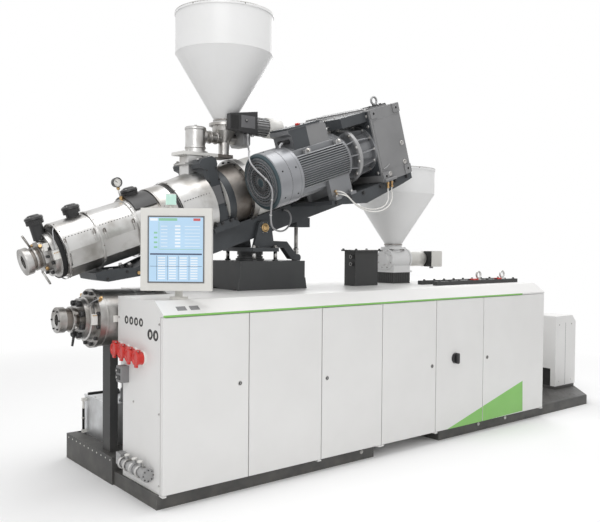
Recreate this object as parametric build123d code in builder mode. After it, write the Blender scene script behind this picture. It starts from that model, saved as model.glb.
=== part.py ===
from build123d import *
from math import cos, pi, radians, sin, tan
import os

os.makedirs("parts", exist_ok=True)

# X runs along the machine from its die end, Y goes from front to back with
# zero on the extrusion axis, Z is up from the floor. All sizes in mm.

# Cabinet
cabinet_length = 4127
front_y = -850
back_y = 640
plinth_height = 94
door_top = 1206
roof_top = 1300
slope_depth = 112
roof_lip = 14
door_widths = [645, 645, 621, 637, 635]
door_swings = ["left", "right", "right", "left", "left", "right"]
door_thickness = 32
door_gap = 4
door_clearance = 8
door_edge = 2
hinge_inset = (10, 8)
hinge_pin_radius = 5
hinge_pin_length = 14
hinge_lug = 16
pin_clearance = 0.05
pin_clearance_end = 2
bay_depth = 240
bay_post = 24
bay_sill = 40
end_room_length = 420
end_plate = 12
end_lower_depth = 560
end_step_z = 935
stripe_inset = 367
stripe_height = 12
stripe_thickness = 3
switch_inset = 245
switch_z = 699
switch_shaft_radius = 8
switch_dial_radius = 42
switch_dial_thickness = 14
switch_grip_length = 92
switch_grip_width = 30
switch_grip_height = 26
ports_start = 300
port_pitch = 70
port_drop = 56
large_ports_start = 100
large_port_pitch = 75
large_port_drop = 121
port_radius = 24
large_port_radius = 30

# Plinths, platform and rear cover
plinth_setback = 50
front_plinth_end = 1876
rear_plinth_start = 2650
platform_length = 901
platform_back = -450
grating_thickness = 4
grating_edge = 6
cover_gap = 863
cover_length = 395
cover_top = 895
cover_base = 36
cover_chamfer = 70
recess_depth = 200
recess_height = 190

# Roof fittings
rail_start = 2900
rail_width = 50
rail_height = 36
rail_front = 300
rail_pitch = 180
eye_from_end = (601, 232)
eye_radius = 30
eye_bar = 9
stand_x = (2215, 2490)
stand_front = -210
stand_depth = 141
stand_height = 304
stand_plate = 12
stand_overhang = 22
stand_boss_radius = 18
stand_boss_inset = 40
stand_boss_drops = (48, 112)

# Lower extruder
lower_axis_z = 1137
lower_cover_radius = 198
barrel_gap = 12
lower_flange_x = -119
lower_flange_thickness = 30
lower_flange_radius = 205
adapter_radius = 150
lower_neck_radius = 74
lower_ring_x = -354
lower_ring_radius = 88
lower_ring_length = 50
lower_bore = 40
bore_groove = 9
groove_count = 8
adapter_length = 80
vent_count = 6
vent_start = 262
vent_pitch = 20
vent_width = 10
vent_length = 46
vent_depth = 8
vent_angle = 24
support_x = (10, 70)
support_half_width = 60

# Tank unit
tank_base_x = (-30, 400)
tank_base_y = (-185, 633)
tank_base_height = 190
tray_wall = 8
tray_depth = 8
tank_x = (95, 385)
tank_y = (118, 588)
tank_height = 303
tank_lid = 5
tank_lid_overhang = 4
gauge_radius = 9
valve_x = 170
valve_y = 250
valve_rise = 80
valve_ball_radius = 34
valve_pipe_radius = 18
valve_stem_radius = 8
lever_length = 210
pump_x = 250
pump_y = 190
pump_radius = 40

# End fittings
socket_start = 270
socket_pitch = 108
socket_z = 923
socket_climb = 8
socket_radius = 40
socket_depth = 46
lid_radius = 46
lid_thickness = 12
connector_y = (470, 545)
connector_z = (735, 845)
connector_depth = 60
actuator_plate_y = (490, 560)
actuator_y = (120, 490)
actuator_z = 205
actuator_radius = 38

# Pedestal, lift and trunnion
pedestal_x = (1003, 1640)
pedestal_half_width = 215
pedestal_height = 227
foot_flare = 22
foot_flare_height = 90
gusset = 12
lift_height = 75
foot_plate = 30
column_radius = 14
slewing_radius = 104
pivot_x = 1261
pivot_rise = 159.7
pivot_radius = 22
pin_overhang = 8
side_plate_thickness = 30
side_plate_gap = 6
arm_width = 60
arm_y = -65
arm_reach = 403
knuckle_drop = 52
knuckle_radius = 30
spindle_radius = 15
spindle_length = 330

# Co-extruder, along and out from its own axis
tilt = 18
pivot_along = 1826
pivot_out = -315
beam_half_width = 140
beam_low = -371
beam_top = -215
beam_end = 2750
tray_end = 393
tray_wall_thickness = 14
spindle_hole_gap = 12
cradle_start = 2160
cradle_end = 3085
cradle_y = (-650, 150)
cover_start = 233
cover_radius = 196
cover_wall = 4
cover_one_end = 480
cover_band = 18
cover_two_end = 767
cover_two_radius = 205
cover_three_end = 977
cover_three_radius = 214
cover_four_radius = 232
fold_step = 36
mouth_depth = 26
barrel_flat = 200
ring_along = 1104
ring_gap = 26
cone_end = 1405
cone_radius = 262
die_ring_radius = 88
die_ring_length = 48
die_bore = 45
die_disc_radius = 150
die_disc_offset = 72
die_adapter_radius = 108
die_adapter_length = 46
feed_block_along = (1405, 1525)
feed_block_half_width = 200
feed_block_top = 283
feed_foot_along = (1346, 1576)
feed_foot_height = 62
feed_cap_top = 340
feed_corner = 16
blower_along = (158, 419, 871)
blower_foot = (110, 170, 190)
blower_radius = 58
blower_cap_low = 216
duct_along = (795, 968)
duct_radius = 228
duct_sweep = (25, 55)
neck_radius = 232
flange_along = (1740, 1792)
flange_radius = 266
housing_radius = 244
housing_end = 2720
seam_along = (2052, 2392)
seam_depth = 3
gearbox_length = 345
gearbox_y = (-675, 230)
gearbox_seat = 3
gearbox_top = 377
gearbox_pad = 74
pad_height = 9
gearbox_eye_radius = 30
gearbox_chamfer = 6
pad_hole = 11

# Main motor, beside the co-extruder
motor_y = -482
motor_out = 72
motor_radius = 215
shroud_along = (1679, 1914)
motor_body_end = 2419
motor_core_radius = 170
fin_height = 33
fin_thickness = 7
fin_pitch = 17
fin_count = 15
flange_start = 2499
flange_thickness = 28
bell_ribs = 12
rib_thickness = 9
motor_foot_spread = 150
motor_foot_width = 44
shroud_seam = 1800
bell_radius = 150
terminal_along = (1968, 2318)
terminal_top = 330
terminal_half_width = 112
grille_rings = 6
grille_slot = 8
grille_rib = 12
grille_hub = 40
grille_depth = 10
grille_spokes = 8

# Hoppers and feeders
hopper_radius = 380
hopper_wall = 3
hopper_neck_radius = 81
hopper_neck_length = 30
hopper_rim = 6
hopper_rim_height = 22
hopper1_x = 984
hopper1_cone_height = 500
hopper1_cylinder = 316
hopper1_rise = 250
hopper2_x = 2903
hopper2_rise = 144
hopper2_cone_height = 465
hopper2_cylinder = 240
chute_x = (627, 747)
chute_half_width = 68
chute_plate_x = (571, 1010)
chute_plate_rise = 533.3
chute_plate_thickness = 25
chute_depth = 190
drop_x = 726
drop_radius = 77
drop_height = 195
screw_rise = 134
screw_radius = 42
meter_radius = 43
feeder_flange = 118
feeder_flange_thickness = 20
feeder2_rise = 228
feeder2_x = (2790, 3060)
feeder2_radius = 104
feeder2_base_half_width = 110
small_motor_radius = 75
small_fin = 12
small_fin_count = 20
gear_x = (1080, 1150)
feeder_motor_y = -60
feeder_motor_rise = 116
feeder_motor_length = 340
inverter_x = (930, 1185)
inverter_depth = 46
inverter_back = -124
inverter_height = 150

# Operator panel
post_x = 232
post_y = -628
post_radius = 25
post_height = 382
post_foot_radius = 60
post_foot_thickness = 14
panel_width = 458
panel_height = 531
panel_depth = 70
panel_rise = 324
panel_offset = 80
panel_turn = -39
panel_corner = 6
arm_block_width = 110
arm_block_height = 120
screen_width = 346
screen_height = 412
screen_thickness = 2
lamp_offset = 40
lamp_radius = 33

# Cable and hoses on the co-extruder, each a route of (x, y, z) points
cable_diameter = 14
hose_diameter = 10
gland_length = 25
feeder_cable_route = [
    (1109, -147, 2495),
    (1109, -147, 2440),
    (1088, -192, 2386),
    (1024, -295, 2362),
    (948, -395, 2345),
    (907, -454, 2268),
    (932, -496, 2208),
    (950, -560, 2158),
    (972, -618, 2104),
    (985, -640, 2050),
    (1005, -612, 1996),
    (1030, -562, 1912),
    (1054, -528, 1845),
    (1088, -495, 1792),
    (1168, -436, 1768),
    (1290, -335, 1760),
    (1395, -255, 1770),
    (1455, -228, 1800),
    (1486, -222, 1850),
    (1487, -217, 1898),
    (1466, -197, 1938),
    (1466, -158, 1938),
]
hose_one_route = [
    (2115, -690, 2122),
    (2115, -690, 2088),
    (2119, -694, 2044),
    (2092, -699, 1993),
    (2030, -701, 1958),
    (1935, -698, 1942),
    (1830, -691, 1952),
    (1748, -684, 1986),
    (1690, -686, 2030),
    (1634, -694, 2062),
    (1594, -676, 2073),
    (1594, -632, 2073),
]
hose_two_route = [
    (2158, -690, 2134),
    (2158, -690, 2096),
    (2161, -696, 2048),
    (2131, -703, 1992),
    (2066, -709, 1949),
    (1970, -709, 1924),
    (1860, -702, 1930),
    (1765, -698, 1962),
    (1704, -704, 2004),
    (1649, -706, 2040),
    (1607, -680, 2051),
    (1607, -632, 2051),
]
fitting_radius = 9
fitting_length = 64
oil_pipe_radius = 13
oil_pipe_y = -690

# Heights and places that follow from the sizes
door_edges = [0]
for width in door_widths:
    door_edges.append(door_edges[-1] + width)
door_edges.append(cabinet_length)
room_back = -lower_cover_radius - barrel_gap
housing_front = front_y + door_thickness + door_clearance
switch_x = door_edges[4] + switch_inset
rear_end = cabinet_length + cover_gap + cover_length
platform_end = cabinet_length + platform_length
plinth_front = front_y + plinth_setback
plinth_back = back_y - plinth_setback
pedestal_top = roof_top + pedestal_height
foot_plate_low = pedestal_top + lift_height
foot_plate_top = foot_plate_low + foot_plate
pivot = Vector(pivot_x, 0, foot_plate_top + pivot_rise)
tank_top = tank_base_height - tray_depth + tank_height
chute_plate_z = pivot.Z + chute_plate_rise
feeder_plate_top = chute_plate_z + chute_plate_thickness
screw_z = feeder_plate_top + screw_rise
hopper1_neck_z = feeder_plate_top + hopper1_rise
feeder2_z = roof_top + feeder2_rise
hopper2_neck_z = feeder2_z + hopper2_rise

# Frames: both extrusion axes, the motor axis and the view from the front
lengthwise = Vector(cos(radians(tilt)), 0, sin(radians(tilt)))
outward = Vector(-sin(radians(tilt)), 0, cos(radians(tilt)))
front = Plane(origin=(0, 0, 0), x_dir=(1, 0, 0), z_dir=(0, -1, 0))
side = Plane(origin=(0, 0, 0), x_dir=(0, 1, 0), z_dir=(1, 0, 0))
lower = Plane(origin=(0, 0, lower_axis_z), x_dir=(1, 0, 0), z_dir=(0, -1, 0))
upper = Plane(
    origin=pivot - lengthwise * pivot_along - outward * pivot_out,
    x_dir=lengthwise,
    z_dir=(0, -1, 0),
)
motor = Plane(
    origin=upper.from_local_coords(Vector(0, motor_out, -motor_y)),
    x_dir=lengthwise,
    z_dir=(0, -1, 0),
)


def block(x, y, z, mode=Mode.ADD):
    """Add a box between pairs of limits."""
    with Locations(((x[0] + x[1]) / 2, (y[0] + y[1]) / 2, (z[0] + z[1]) / 2)):
        Box(x[1] - x[0], y[1] - y[0], z[1] - z[0], mode=mode)


def spun(frame, angle):
    """Return a frame turned about its own X axis."""
    axis = Axis(frame.origin, frame.x_dir)
    return Plane(origin=frame.origin, x_dir=frame.x_dir, z_dir=frame.z_dir.rotate(axis, angle))


def turned(frame, points, mode=Mode.ADD, start=0, arc=360):
    """Add a solid turned about a frame's X axis from (along, radius) points."""
    with BuildSketch(spun(frame, start)) as outline:
        with BuildLine():
            Polyline(*points, close=True)
        make_face()
    revolve(outline.sketch, axis=Axis(frame.origin, frame.x_dir), revolution_arc=arc, mode=mode)


def plate(frame, points, near, far, mode=Mode.ADD, corner=0):
    """Add a flat outline of (along, up) points between two depths in Y."""
    with BuildSketch(frame.offset(-near)) as outline:
        with BuildLine():
            Polyline(*points, close=True)
        make_face()
        if corner:
            fillet(outline.vertices(), corner)
    extrude(outline.sketch, amount=near - far, mode=mode)


def slab(points, low, high, mode=Mode.ADD):
    """Add a plan outline of (x, y) points between two heights."""
    with BuildSketch(Plane.XY.offset(low)) as outline:
        with BuildLine():
            Polyline(*points, close=True)
        make_face()
    extrude(outline.sketch, amount=high - low, mode=mode)


def rod(start, direction, radius, length, mode=Mode.ADD):
    """Add a round bar from a start point along a direction."""
    with Locations(Plane(origin=start, z_dir=direction)):
        Cylinder(radius, length, align=(Align.CENTER, Align.CENTER, Align.MIN), mode=mode)


def section_at(frame, along):
    """Return the plane across a frame's X axis at a place along it."""
    return Plane(
        origin=frame.from_local_coords(Vector(along, 0, 0)),
        x_dir=(0, 1, 0),
        z_dir=frame.x_dir,
    )


def ribs_around(frame, points, count, thickness):
    """Add equal flat ribs of (along, radius) points around a frame's X axis."""
    for i in range(count):
        with BuildSketch(spun(frame, 360 * i / count)) as rib:
            with BuildLine():
                Polyline(*points, close=True)
            make_face()
        extrude(rib.sketch, amount=thickness / 2, both=True)


def folded_cover(start, end, radius):
    """Add a cover that is round above and folded into flat panels below."""
    with BuildSketch(section_at(upper, start)) as fold:
        Circle(radius)
        with BuildLine():
            corners = [
                (radius * cos(radians(-angle)), radius * sin(radians(-angle)))
                for angle in range(0, 181, fold_step)
            ]
            Polyline(*corners, close=True)
        make_face(mode=Mode.PRIVATE)
        with Locations((0, -radius / 2)):
            Rectangle(2 * radius, radius, mode=Mode.SUBTRACT)
        Polygon(*corners, align=None)
    extrude(fold.sketch, amount=end - start)


def hopper_shell(x, neck_z, cone_height, cylinder):
    """Add a round hopper: neck, cone, cylinder, rolled rim and flat lid."""
    frame = Plane(origin=(x, 0, neck_z), x_dir=(0, 0, 1), z_dir=(0, -1, 0))
    cone = hopper_neck_length
    shoulder = cone + cone_height
    top = shoulder + cylinder
    inner = hopper_radius - hopper_wall
    turned(
        frame,
        [
            (0, hopper_neck_radius),
            (cone, hopper_neck_radius),
            (shoulder, hopper_radius),
            (top - hopper_rim_height, hopper_radius),
            (top - hopper_rim_height, hopper_radius + hopper_rim),
            (top, hopper_radius + hopper_rim),
            (top, 0),
            (top - hopper_wall, 0),
            (top - hopper_wall, inner),
            (shoulder, inner),
            (cone, hopper_neck_radius - hopper_wall),
            (0, hopper_neck_radius - hopper_wall),
        ],
    )


def small_motor(frame, start, length, radius):
    """Add a finned motor body with a domed fan cover, along a frame's X axis."""
    body_end = start + 0.55 * length
    with BuildSketch(section_at(frame, start)) as finned:
        Circle(radius - small_fin)
        with PolarLocations(radius - small_fin, small_fin_count):
            Rectangle(2 * small_fin, small_fin / 2)
        Circle(radius, mode=Mode.INTERSECT)
    extrude(finned.sketch, amount=body_end - start)
    end = start + length
    turned(
        frame,
        [
            (body_end, 0),
            (body_end, radius + 5),
            (end - 22, radius + 5),
            (end - 8, radius - 8),
            (end - 8, radius - 22),
            (end - 4, radius - 22),
            (end - 4, 26),
            (end, 22),
            (end, 0),
        ],
    )


def corner_radii(route):
    """Return the bend radius at each inner point of a route."""
    spots = [Vector(*point) for point in route]
    radii = []
    for before, here, after in zip(spots, spots[1:], spots[2:]):
        turn = (here - before).get_angle(after - here)
        shorter = min((here - before).length, (after - here).length)
        radii.append(0.45 * shorter / tan(radians(turn / 2)))
    return radii


def cord(route, diameter):
    """Add a round cord along a route and return the length of its path."""
    radii = corner_radii(route)
    with BuildLine():
        path = FilletPolyline(*route, radius=radii)
    with BuildSketch(Plane(origin=path @ 0, z_dir=path % 0)) as section:
        Circle(diameter / 2)
    sweep(section.sketch, path=path)
    print("bend radii", [round(radius) for radius in radii], "length", round(path.length))
    return path.length


# Plinths and platform
with BuildPart() as front_plinth:
    block((-16, front_plinth_end), (plinth_front, -190), (0, plinth_height))
    block((end_room_length, front_plinth_end), (-190, plinth_back), (0, plinth_height))

with BuildPart() as rear_plinth:
    slab(
        [
            (rear_plinth_start, plinth_front),
            (platform_end, plinth_front),
            (rear_end, platform_back + 5),
            (rear_end, plinth_back),
            (rear_plinth_start, plinth_back),
        ],
        0,
        plinth_height,
    )
    block(
        (cabinet_length + cover_gap, rear_end - 5),
        (platform_back + 8, plinth_back - 5),
        (plinth_height, plinth_height + cover_base),
    )

with BuildPart() as tread_grating:
    slab(
        [
            (cabinet_length + 2, plinth_front + grating_edge),
            (platform_end - grating_edge, plinth_front + grating_edge),
            (rear_end - 75, platform_back),
            (cabinet_length + 2, platform_back),
        ],
        plinth_height,
        plinth_height + grating_thickness,
    )
    block(
        (cabinet_length + 2, cabinet_length + cover_gap),
        (platform_back, plinth_back - 40),
        (plinth_height, plinth_height + grating_thickness),
    )

# Door leaves with their hinge lines
leaves = []
for left, right, swing in zip(door_edges, door_edges[1:], door_swings):
    leaf = (left + door_gap * (left > 0), right - door_gap)
    hinge_x = leaf[0] + hinge_inset[0] if swing == "left" else leaf[1] - hinge_inset[0]
    leaves.append((leaf, hinge_x))
hinge_y = front_y + hinge_inset[1]
door_low = plinth_height + door_gap
door_high = door_top - door_gap
hinge_reach = door_gap + hinge_pin_length

# Housing with a shallow equipment bay behind each door
lower_back = front_y + end_lower_depth
with BuildPart() as machine_housing:
    block((end_plate, cabinet_length), (housing_front, lower_back), (plinth_height, door_top))
    block((end_plate, cabinet_length), (lower_back, room_back), (end_step_z, door_top))
    block((end_room_length, cabinet_length), (lower_back, back_y), (plinth_height, door_top))
    for left, right in zip(door_edges, door_edges[1:]):
        block(
            (max(left, end_plate) + bay_post, right - bay_post),
            (housing_front, housing_front + bay_depth),
            (plinth_height + bay_sill, door_top - bay_sill),
            mode=Mode.SUBTRACT,
        )
    for leaf, hinge_x in leaves:
        lug = (max(hinge_x - hinge_lug, 0), hinge_x + hinge_lug)
        block(lug, (front_y + 2, plinth_front), (plinth_height - 10, plinth_height))
        rod((hinge_x, hinge_y, plinth_height), (0, 0, 1), hinge_pin_radius, hinge_reach)

with BuildPart() as roof_cover:
    plate(
        side,
        [
            (front_y, door_top),
            (front_y, door_top + roof_lip),
            (front_y + slope_depth, roof_top),
            (room_back, roof_top),
            (room_back, door_top),
        ],
        0,
        -cabinet_length,
    )
    block((end_room_length, cabinet_length), (room_back, back_y), (door_top, roof_top))
    for leaf, hinge_x in leaves:
        rod((hinge_x, hinge_y, door_top), (0, 0, -1), hinge_pin_radius, hinge_reach)

with BuildPart() as green_stripe:
    block(
        (0, cabinet_length - stripe_inset),
        (front_y - stripe_thickness, front_y),
        (door_top, door_top + stripe_height),
    )

with BuildPart() as end_panel:
    with BuildSketch(side):
        with BuildLine():
            Polyline(
                (housing_front, plinth_height),
                (lower_back, plinth_height),
                (lower_back, end_step_z),
                (room_back, end_step_z),
                (room_back, door_top),
                (housing_front, door_top),
                close=True,
            )
        make_face()
        port_row = door_top - port_drop
        with Locations(*[(front_y + ports_start + port_pitch * i, port_row) for i in range(4)]):
            Circle(port_radius, mode=Mode.SUBTRACT)
        large_row = door_top - large_port_drop
        with Locations(*[(front_y + large_ports_start + large_port_pitch * i, large_row) for i in range(2)]):
            Circle(large_port_radius, mode=Mode.SUBTRACT)
    extrude(amount=end_plate)

# Doors
doors = []
for leaf, hinge_x in leaves:
    with BuildPart() as door:
        block(leaf, (front_y, front_y + door_thickness), (door_low, door_high))
        chamfer(door.faces().sort_by(Axis.Y)[0].edges(), door_edge)
        bore_radius = hinge_pin_radius + pin_clearance
        bore_depth = hinge_pin_length + pin_clearance_end
        rod((hinge_x, hinge_y, door_low), (0, 0, 1), bore_radius, bore_depth, mode=Mode.SUBTRACT)
        rod((hinge_x, hinge_y, door_high), (0, 0, -1), bore_radius, bore_depth, mode=Mode.SUBTRACT)
        if leaf[0] < switch_x < leaf[1]:
            bore_radius = switch_shaft_radius + pin_clearance
            rod((switch_x, front_y, switch_z), (0, 1, 0), bore_radius, door_thickness, mode=Mode.SUBTRACT)
    doors.append(door)

with BuildPart() as main_switch:
    rod((switch_x, front_y - 0.3, switch_z), (0, -1, 0), switch_dial_radius, switch_dial_thickness)
    rod((switch_x, front_y + 20, switch_z), (0, -1, 0), switch_shaft_radius, 30)
    with BuildSketch(Plane(origin=(switch_x, front_y - switch_dial_thickness, switch_z), x_dir=(0, 0, 1), z_dir=(0, -1, 0))):
        SlotOverall(switch_grip_length, switch_grip_width)
    extrude(amount=switch_grip_height)

rail_y = [front_y + rail_front + rail_pitch * i for i in range(2)]
with BuildPart() as roof_rails:
    for y in rail_y:
        block((rail_start, cabinet_length - 8), (y, y + rail_width), (roof_top, roof_top + rail_height))
    for inset in (727, 327):
        block(
            (cabinet_length - inset, cabinet_length - inset + 60),
            (rail_y[0] + rail_width, rail_y[1]),
            (roof_top, roof_top + rail_height),
        )

eye_y = rail_y[0] + rail_width / 2
with BuildPart() as lifting_eyes:
    for inset in eye_from_end:
        foot = Vector(cabinet_length - inset, eye_y, roof_top + rail_height)
        with Locations(Plane(origin=foot)):
            Cylinder(26, 12, align=(Align.CENTER, Align.CENTER, Align.MIN))
            Cone(18, 10, 14 + eye_bar, align=(Align.CENTER, Align.CENTER, Align.MIN))
        with Locations(Plane(origin=foot + Vector(0, 0, 18 + eye_radius), z_dir=(0, -1, 0))):
            Torus(eye_radius, eye_bar)

with BuildPart() as rear_cover:
    cover_x = cabinet_length + cover_gap
    base_z = plinth_height + cover_base
    block((cover_x, rear_end), (platform_back, plinth_back), (base_z, cover_top))
    block(
        (cover_x, cover_x + recess_depth),
        (platform_back + 60, platform_back + 400),
        (base_z, base_z + recess_height),
        mode=Mode.SUBTRACT,
    )
    top_edges = rear_cover.edges().filter_by(Axis.Y).group_by(Axis.Z)[-1]
    chamfer(top_edges.sort_by(Axis.X)[-1], cover_chamfer)

with BuildPart() as rear_stand:
    stand_top = roof_top + stand_height
    stand_back = stand_front + stand_depth
    block(stand_x, (stand_front, stand_back), (roof_top, stand_top))
    block(
        (stand_x[0] - stand_overhang, stand_x[1] + stand_overhang),
        (stand_front - stand_overhang, stand_back + stand_overhang),
        (stand_top, stand_top + stand_plate),
    )
    for drop in stand_boss_drops:
        rod((stand_x[0], stand_front + stand_boss_inset, stand_top - drop), (-1, 0, 0), stand_boss_radius, 16)

# Lower extruder: barrel cover with its vents, then flange, adapter and ring
flange_back = lower_flange_x + lower_flange_thickness
with BuildPart() as lower_barrel:
    turned(
        lower,
        [
            (flange_back, 0),
            (flange_back, lower_cover_radius),
            (end_room_length, lower_cover_radius),
            (end_room_length, 0),
        ],
    )
    vent_y = -lower_cover_radius * sin(radians(vent_angle))
    vent_z = lower_axis_z + lower_cover_radius * cos(radians(vent_angle))
    for i in range(vent_count):
        x = vent_start + vent_pitch * i
        with Locations(Plane(origin=(x, vent_y, vent_z)).rotated((vent_angle, 0, 0))):
            Box(vent_width, vent_length, 2 * vent_depth, mode=Mode.SUBTRACT)

ring_back = lower_ring_x + lower_ring_length
adapter_front = lower_flange_x - adapter_length
with BuildPart() as lower_die_head:
    turned(
        lower,
        [
            (flange_back, 0),
            (flange_back, lower_flange_radius),
            (lower_flange_x, lower_flange_radius),
            (lower_flange_x, adapter_radius),
            (lower_flange_x - 40, adapter_radius),
            (lower_flange_x - 48, adapter_radius - 8),
            (adapter_front, adapter_radius - 8),
            (adapter_front, lower_neck_radius),
            (ring_back, lower_neck_radius),
            (ring_back, lower_ring_radius),
            (lower_ring_x + 4, lower_ring_radius),
            (lower_ring_x, lower_ring_radius - 4),
            (lower_ring_x, lower_bore + 8),
            (lower_ring_x + 8, lower_bore),
            (lower_flange_x - 40, lower_bore),
            (lower_flange_x - 40, 0),
        ],
    )
    with BuildSketch(section_at(lower, lower_ring_x + 8)) as grooves:
        with PolarLocations(lower_bore, groove_count):
            Rectangle(2 * bore_groove, bore_groove)
    extrude(grooves.sketch, amount=lower_ring_length, mode=Mode.SUBTRACT)

with BuildPart() as barrel_support:
    block(
        support_x,
        (-support_half_width, support_half_width),
        (tank_base_height, lower_axis_z - lower_cover_radius + 20),
    )
    add(lower_barrel.part, mode=Mode.SUBTRACT)

# Tank in its tray below the barrel
tray_floor = tank_base_height - tray_depth
with BuildPart() as tank_base:
    block(tank_base_x, tank_base_y, (0, tank_base_height))
    block(
        (tank_x[0] - 45, tank_base_x[1] - tray_wall),
        (tank_y[0] - 60, tank_base_y[1] - tray_wall),
        (tray_floor, tank_base_height),
        mode=Mode.SUBTRACT,
    )

with BuildPart() as oil_tank:
    block(tank_x, tank_y, (tray_floor, tank_top))
    block(
        (tank_x[0] - tank_lid_overhang, tank_x[1]),
        (tank_y[0] - tank_lid_overhang, tank_y[1] + tank_lid_overhang),
        (tank_top - tank_lid, tank_top),
    )

gauge_y = tank_y[1] - 30
gauge_x = tank_x[0] - 22
with BuildPart() as sight_tube:
    rod((gauge_x, gauge_y, tray_floor + 24), (0, 0, 1), gauge_radius, tank_height - 48)
    for z in (tray_floor + 12, tank_top - 48):
        block((gauge_x - 12, tank_x[0]), (gauge_y - 12, gauge_y + 12), (z, z + 24))

ball_z = tank_top + valve_rise
stem_start = valve_y - valve_ball_radius + 4
with BuildPart() as ball_valve:
    upright = Plane(origin=(valve_x, valve_y, tank_top), x_dir=(0, 0, 1), z_dir=(0, -1, 0))
    turned(
        upright,
        [
            (0, 0),
            (0, valve_pipe_radius + 8),
            (14, valve_pipe_radius + 8),
            (14, valve_pipe_radius),
            (40, valve_pipe_radius),
            (40, valve_pipe_radius + 9),
            (58, valve_pipe_radius + 9),
            (58, 0),
        ],
    )
    turned(
        upright,
        [
            (102, 0),
            (102, valve_pipe_radius + 9),
            (120, valve_pipe_radius + 9),
            (120, valve_pipe_radius),
            (146, valve_pipe_radius),
            (146, 0),
        ],
    )
    with Locations((valve_x, valve_y, ball_z)):
        Sphere(valve_ball_radius)
    rod((valve_x, stem_start, ball_z), (0, -1, 0), valve_stem_radius, 26)

with BuildPart() as valve_lever:
    hub_y = stem_start - 8
    rod((valve_x, hub_y, ball_z), (0, -1, 0), 15, 12)
    with BuildSketch(Plane(origin=(valve_x - lever_length / 2, hub_y - 5, ball_z), x_dir=(1, 0, 0), z_dir=(0, -1, 0))):
        SlotOverall(lever_length, 18)
    extrude(amount=6)
    bore = valve_stem_radius + pin_clearance
    rod((valve_x, hub_y + 5, ball_z), (0, -1, 0), bore, 40, mode=Mode.SUBTRACT)

with BuildPart() as tank_pump:
    rod((pump_x, pump_y, tank_top), (0, 0, 1), pump_radius + 12, 10)
    rod((pump_x, pump_y, tank_top + 10), (0, 0, 1), pump_radius, 80)
    rod((pump_x, pump_y, tank_top + 90), (0, 0, 1), pump_radius - 12, 40)
    with BuildPart(mode=Mode.PRIVATE) as elbow:
        with BuildLine() as bend:
            b1 = Line((pump_x, pump_y, tank_top + 120), (pump_x, pump_y, tank_top + 140))
            b2 = TangentArc(b1 @ 1, (pump_x + 45, pump_y, tank_top + 185), tangent=(0, 0, 1))
            Line(b2 @ 1, (pump_x + 80, pump_y, tank_top + 185))
        with BuildSketch(Plane(origin=b1 @ 0, z_dir=(0, 0, 1))):
            Circle(16)
        sweep(path=bend.line)
    add(elbow.part)

# End fittings: four power sockets with lids, a connector and two actuators
socket_spots = [
    (0, front_y + socket_start + socket_pitch * i, socket_z + socket_climb * i) for i in range(4)
]
with BuildPart() as power_sockets:
    for spot in socket_spots:
        turned(
            Plane(origin=spot, x_dir=(-1, 0, 0), z_dir=(0, -1, 0)),
            [
                (0, 0),
                (0, socket_radius + 6),
                (10, socket_radius + 6),
                (14, socket_radius),
                (socket_depth, socket_radius),
                (socket_depth, 0),
            ],
        )

with BuildPart() as socket_lids:
    for spot in socket_spots:
        x, y, z = spot
        turned(
            Plane(origin=(-socket_depth, y, z), x_dir=(-1, 0, 0), z_dir=(0, -1, 0)),
            [
                (0, 0),
                (0, lid_radius),
                (lid_thickness - 4, lid_radius),
                (lid_thickness, lid_radius - 5),
                (lid_thickness, lid_radius - 14),
                (lid_thickness - 5, lid_radius - 16),
                (lid_thickness - 5, 0),
            ],
        )
        block(
            (-socket_depth - lid_thickness + 3, -socket_depth + 18),
            (y - 20, y + 20),
            (z + socket_radius + 1, z + socket_radius + 16),
        )

with BuildPart() as cable_connector:
    block(
        (-connector_depth, 0),
        (front_y + connector_y[0], front_y + connector_y[1]),
        connector_z,
    )
    chamfer(cable_connector.faces().sort_by(Axis.X)[0].edges(), 6)

with BuildPart() as valve_block:
    block(
        (-50, 0),
        (front_y + actuator_plate_y[0], front_y + actuator_plate_y[1]),
        (actuator_z - 25, actuator_z + 55),
    )
    actuator = Plane(
        origin=(-actuator_radius, front_y + actuator_y[0], actuator_z),
        x_dir=(0, 1, 0),
        z_dir=(1, 0, 0),
    )
    length = actuator_y[1] - actuator_y[0]
    turned(
        actuator,
        [
            (0, 0),
            (0, actuator_radius + 6),
            (26, actuator_radius + 6),
            (26, actuator_radius - 8),
            (0.45 * length, actuator_radius - 8),
            (0.45 * length, actuator_radius),
            (0.62 * length, actuator_radius),
            (0.62 * length, actuator_radius - 10),
            (length, actuator_radius - 10),
            (length, 0),
        ],
    )
    block(
        (-50, 0),
        (front_y + actuator_y[0] + 20, front_y + actuator_y[1]),
        (actuator_z - 20, actuator_z + 20),
    )
    for share in (0.3, 0.52, 0.8):
        y = front_y + actuator_y[0] + share * length
        rod((-actuator_radius, y, actuator_z), (0, 0, 1), 12, 62)
    block((0, 60), (front_y, front_y + 600), (0, 400), mode=Mode.SUBTRACT)

# Pedestal with flared feet, slewing ring on four columns, and trunnion
pedestal_y = (-pedestal_half_width, pedestal_half_width)
with BuildPart() as pedestal:
    block(pedestal_x, pedestal_y, (roof_top, pedestal_top))
    for x, away in ((pedestal_x[0], -1), (pedestal_x[1], 1)):
        for y in (pedestal_y[0], pedestal_y[1] - gusset):
            plate(
                front,
                [
                    (x, roof_top),
                    (x + away * foot_flare, roof_top),
                    (x + away * foot_flare * 0.3, roof_top + foot_flare_height),
                    (x, roof_top + foot_flare_height),
                ],
                y,
                y + gusset,
            )

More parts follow.
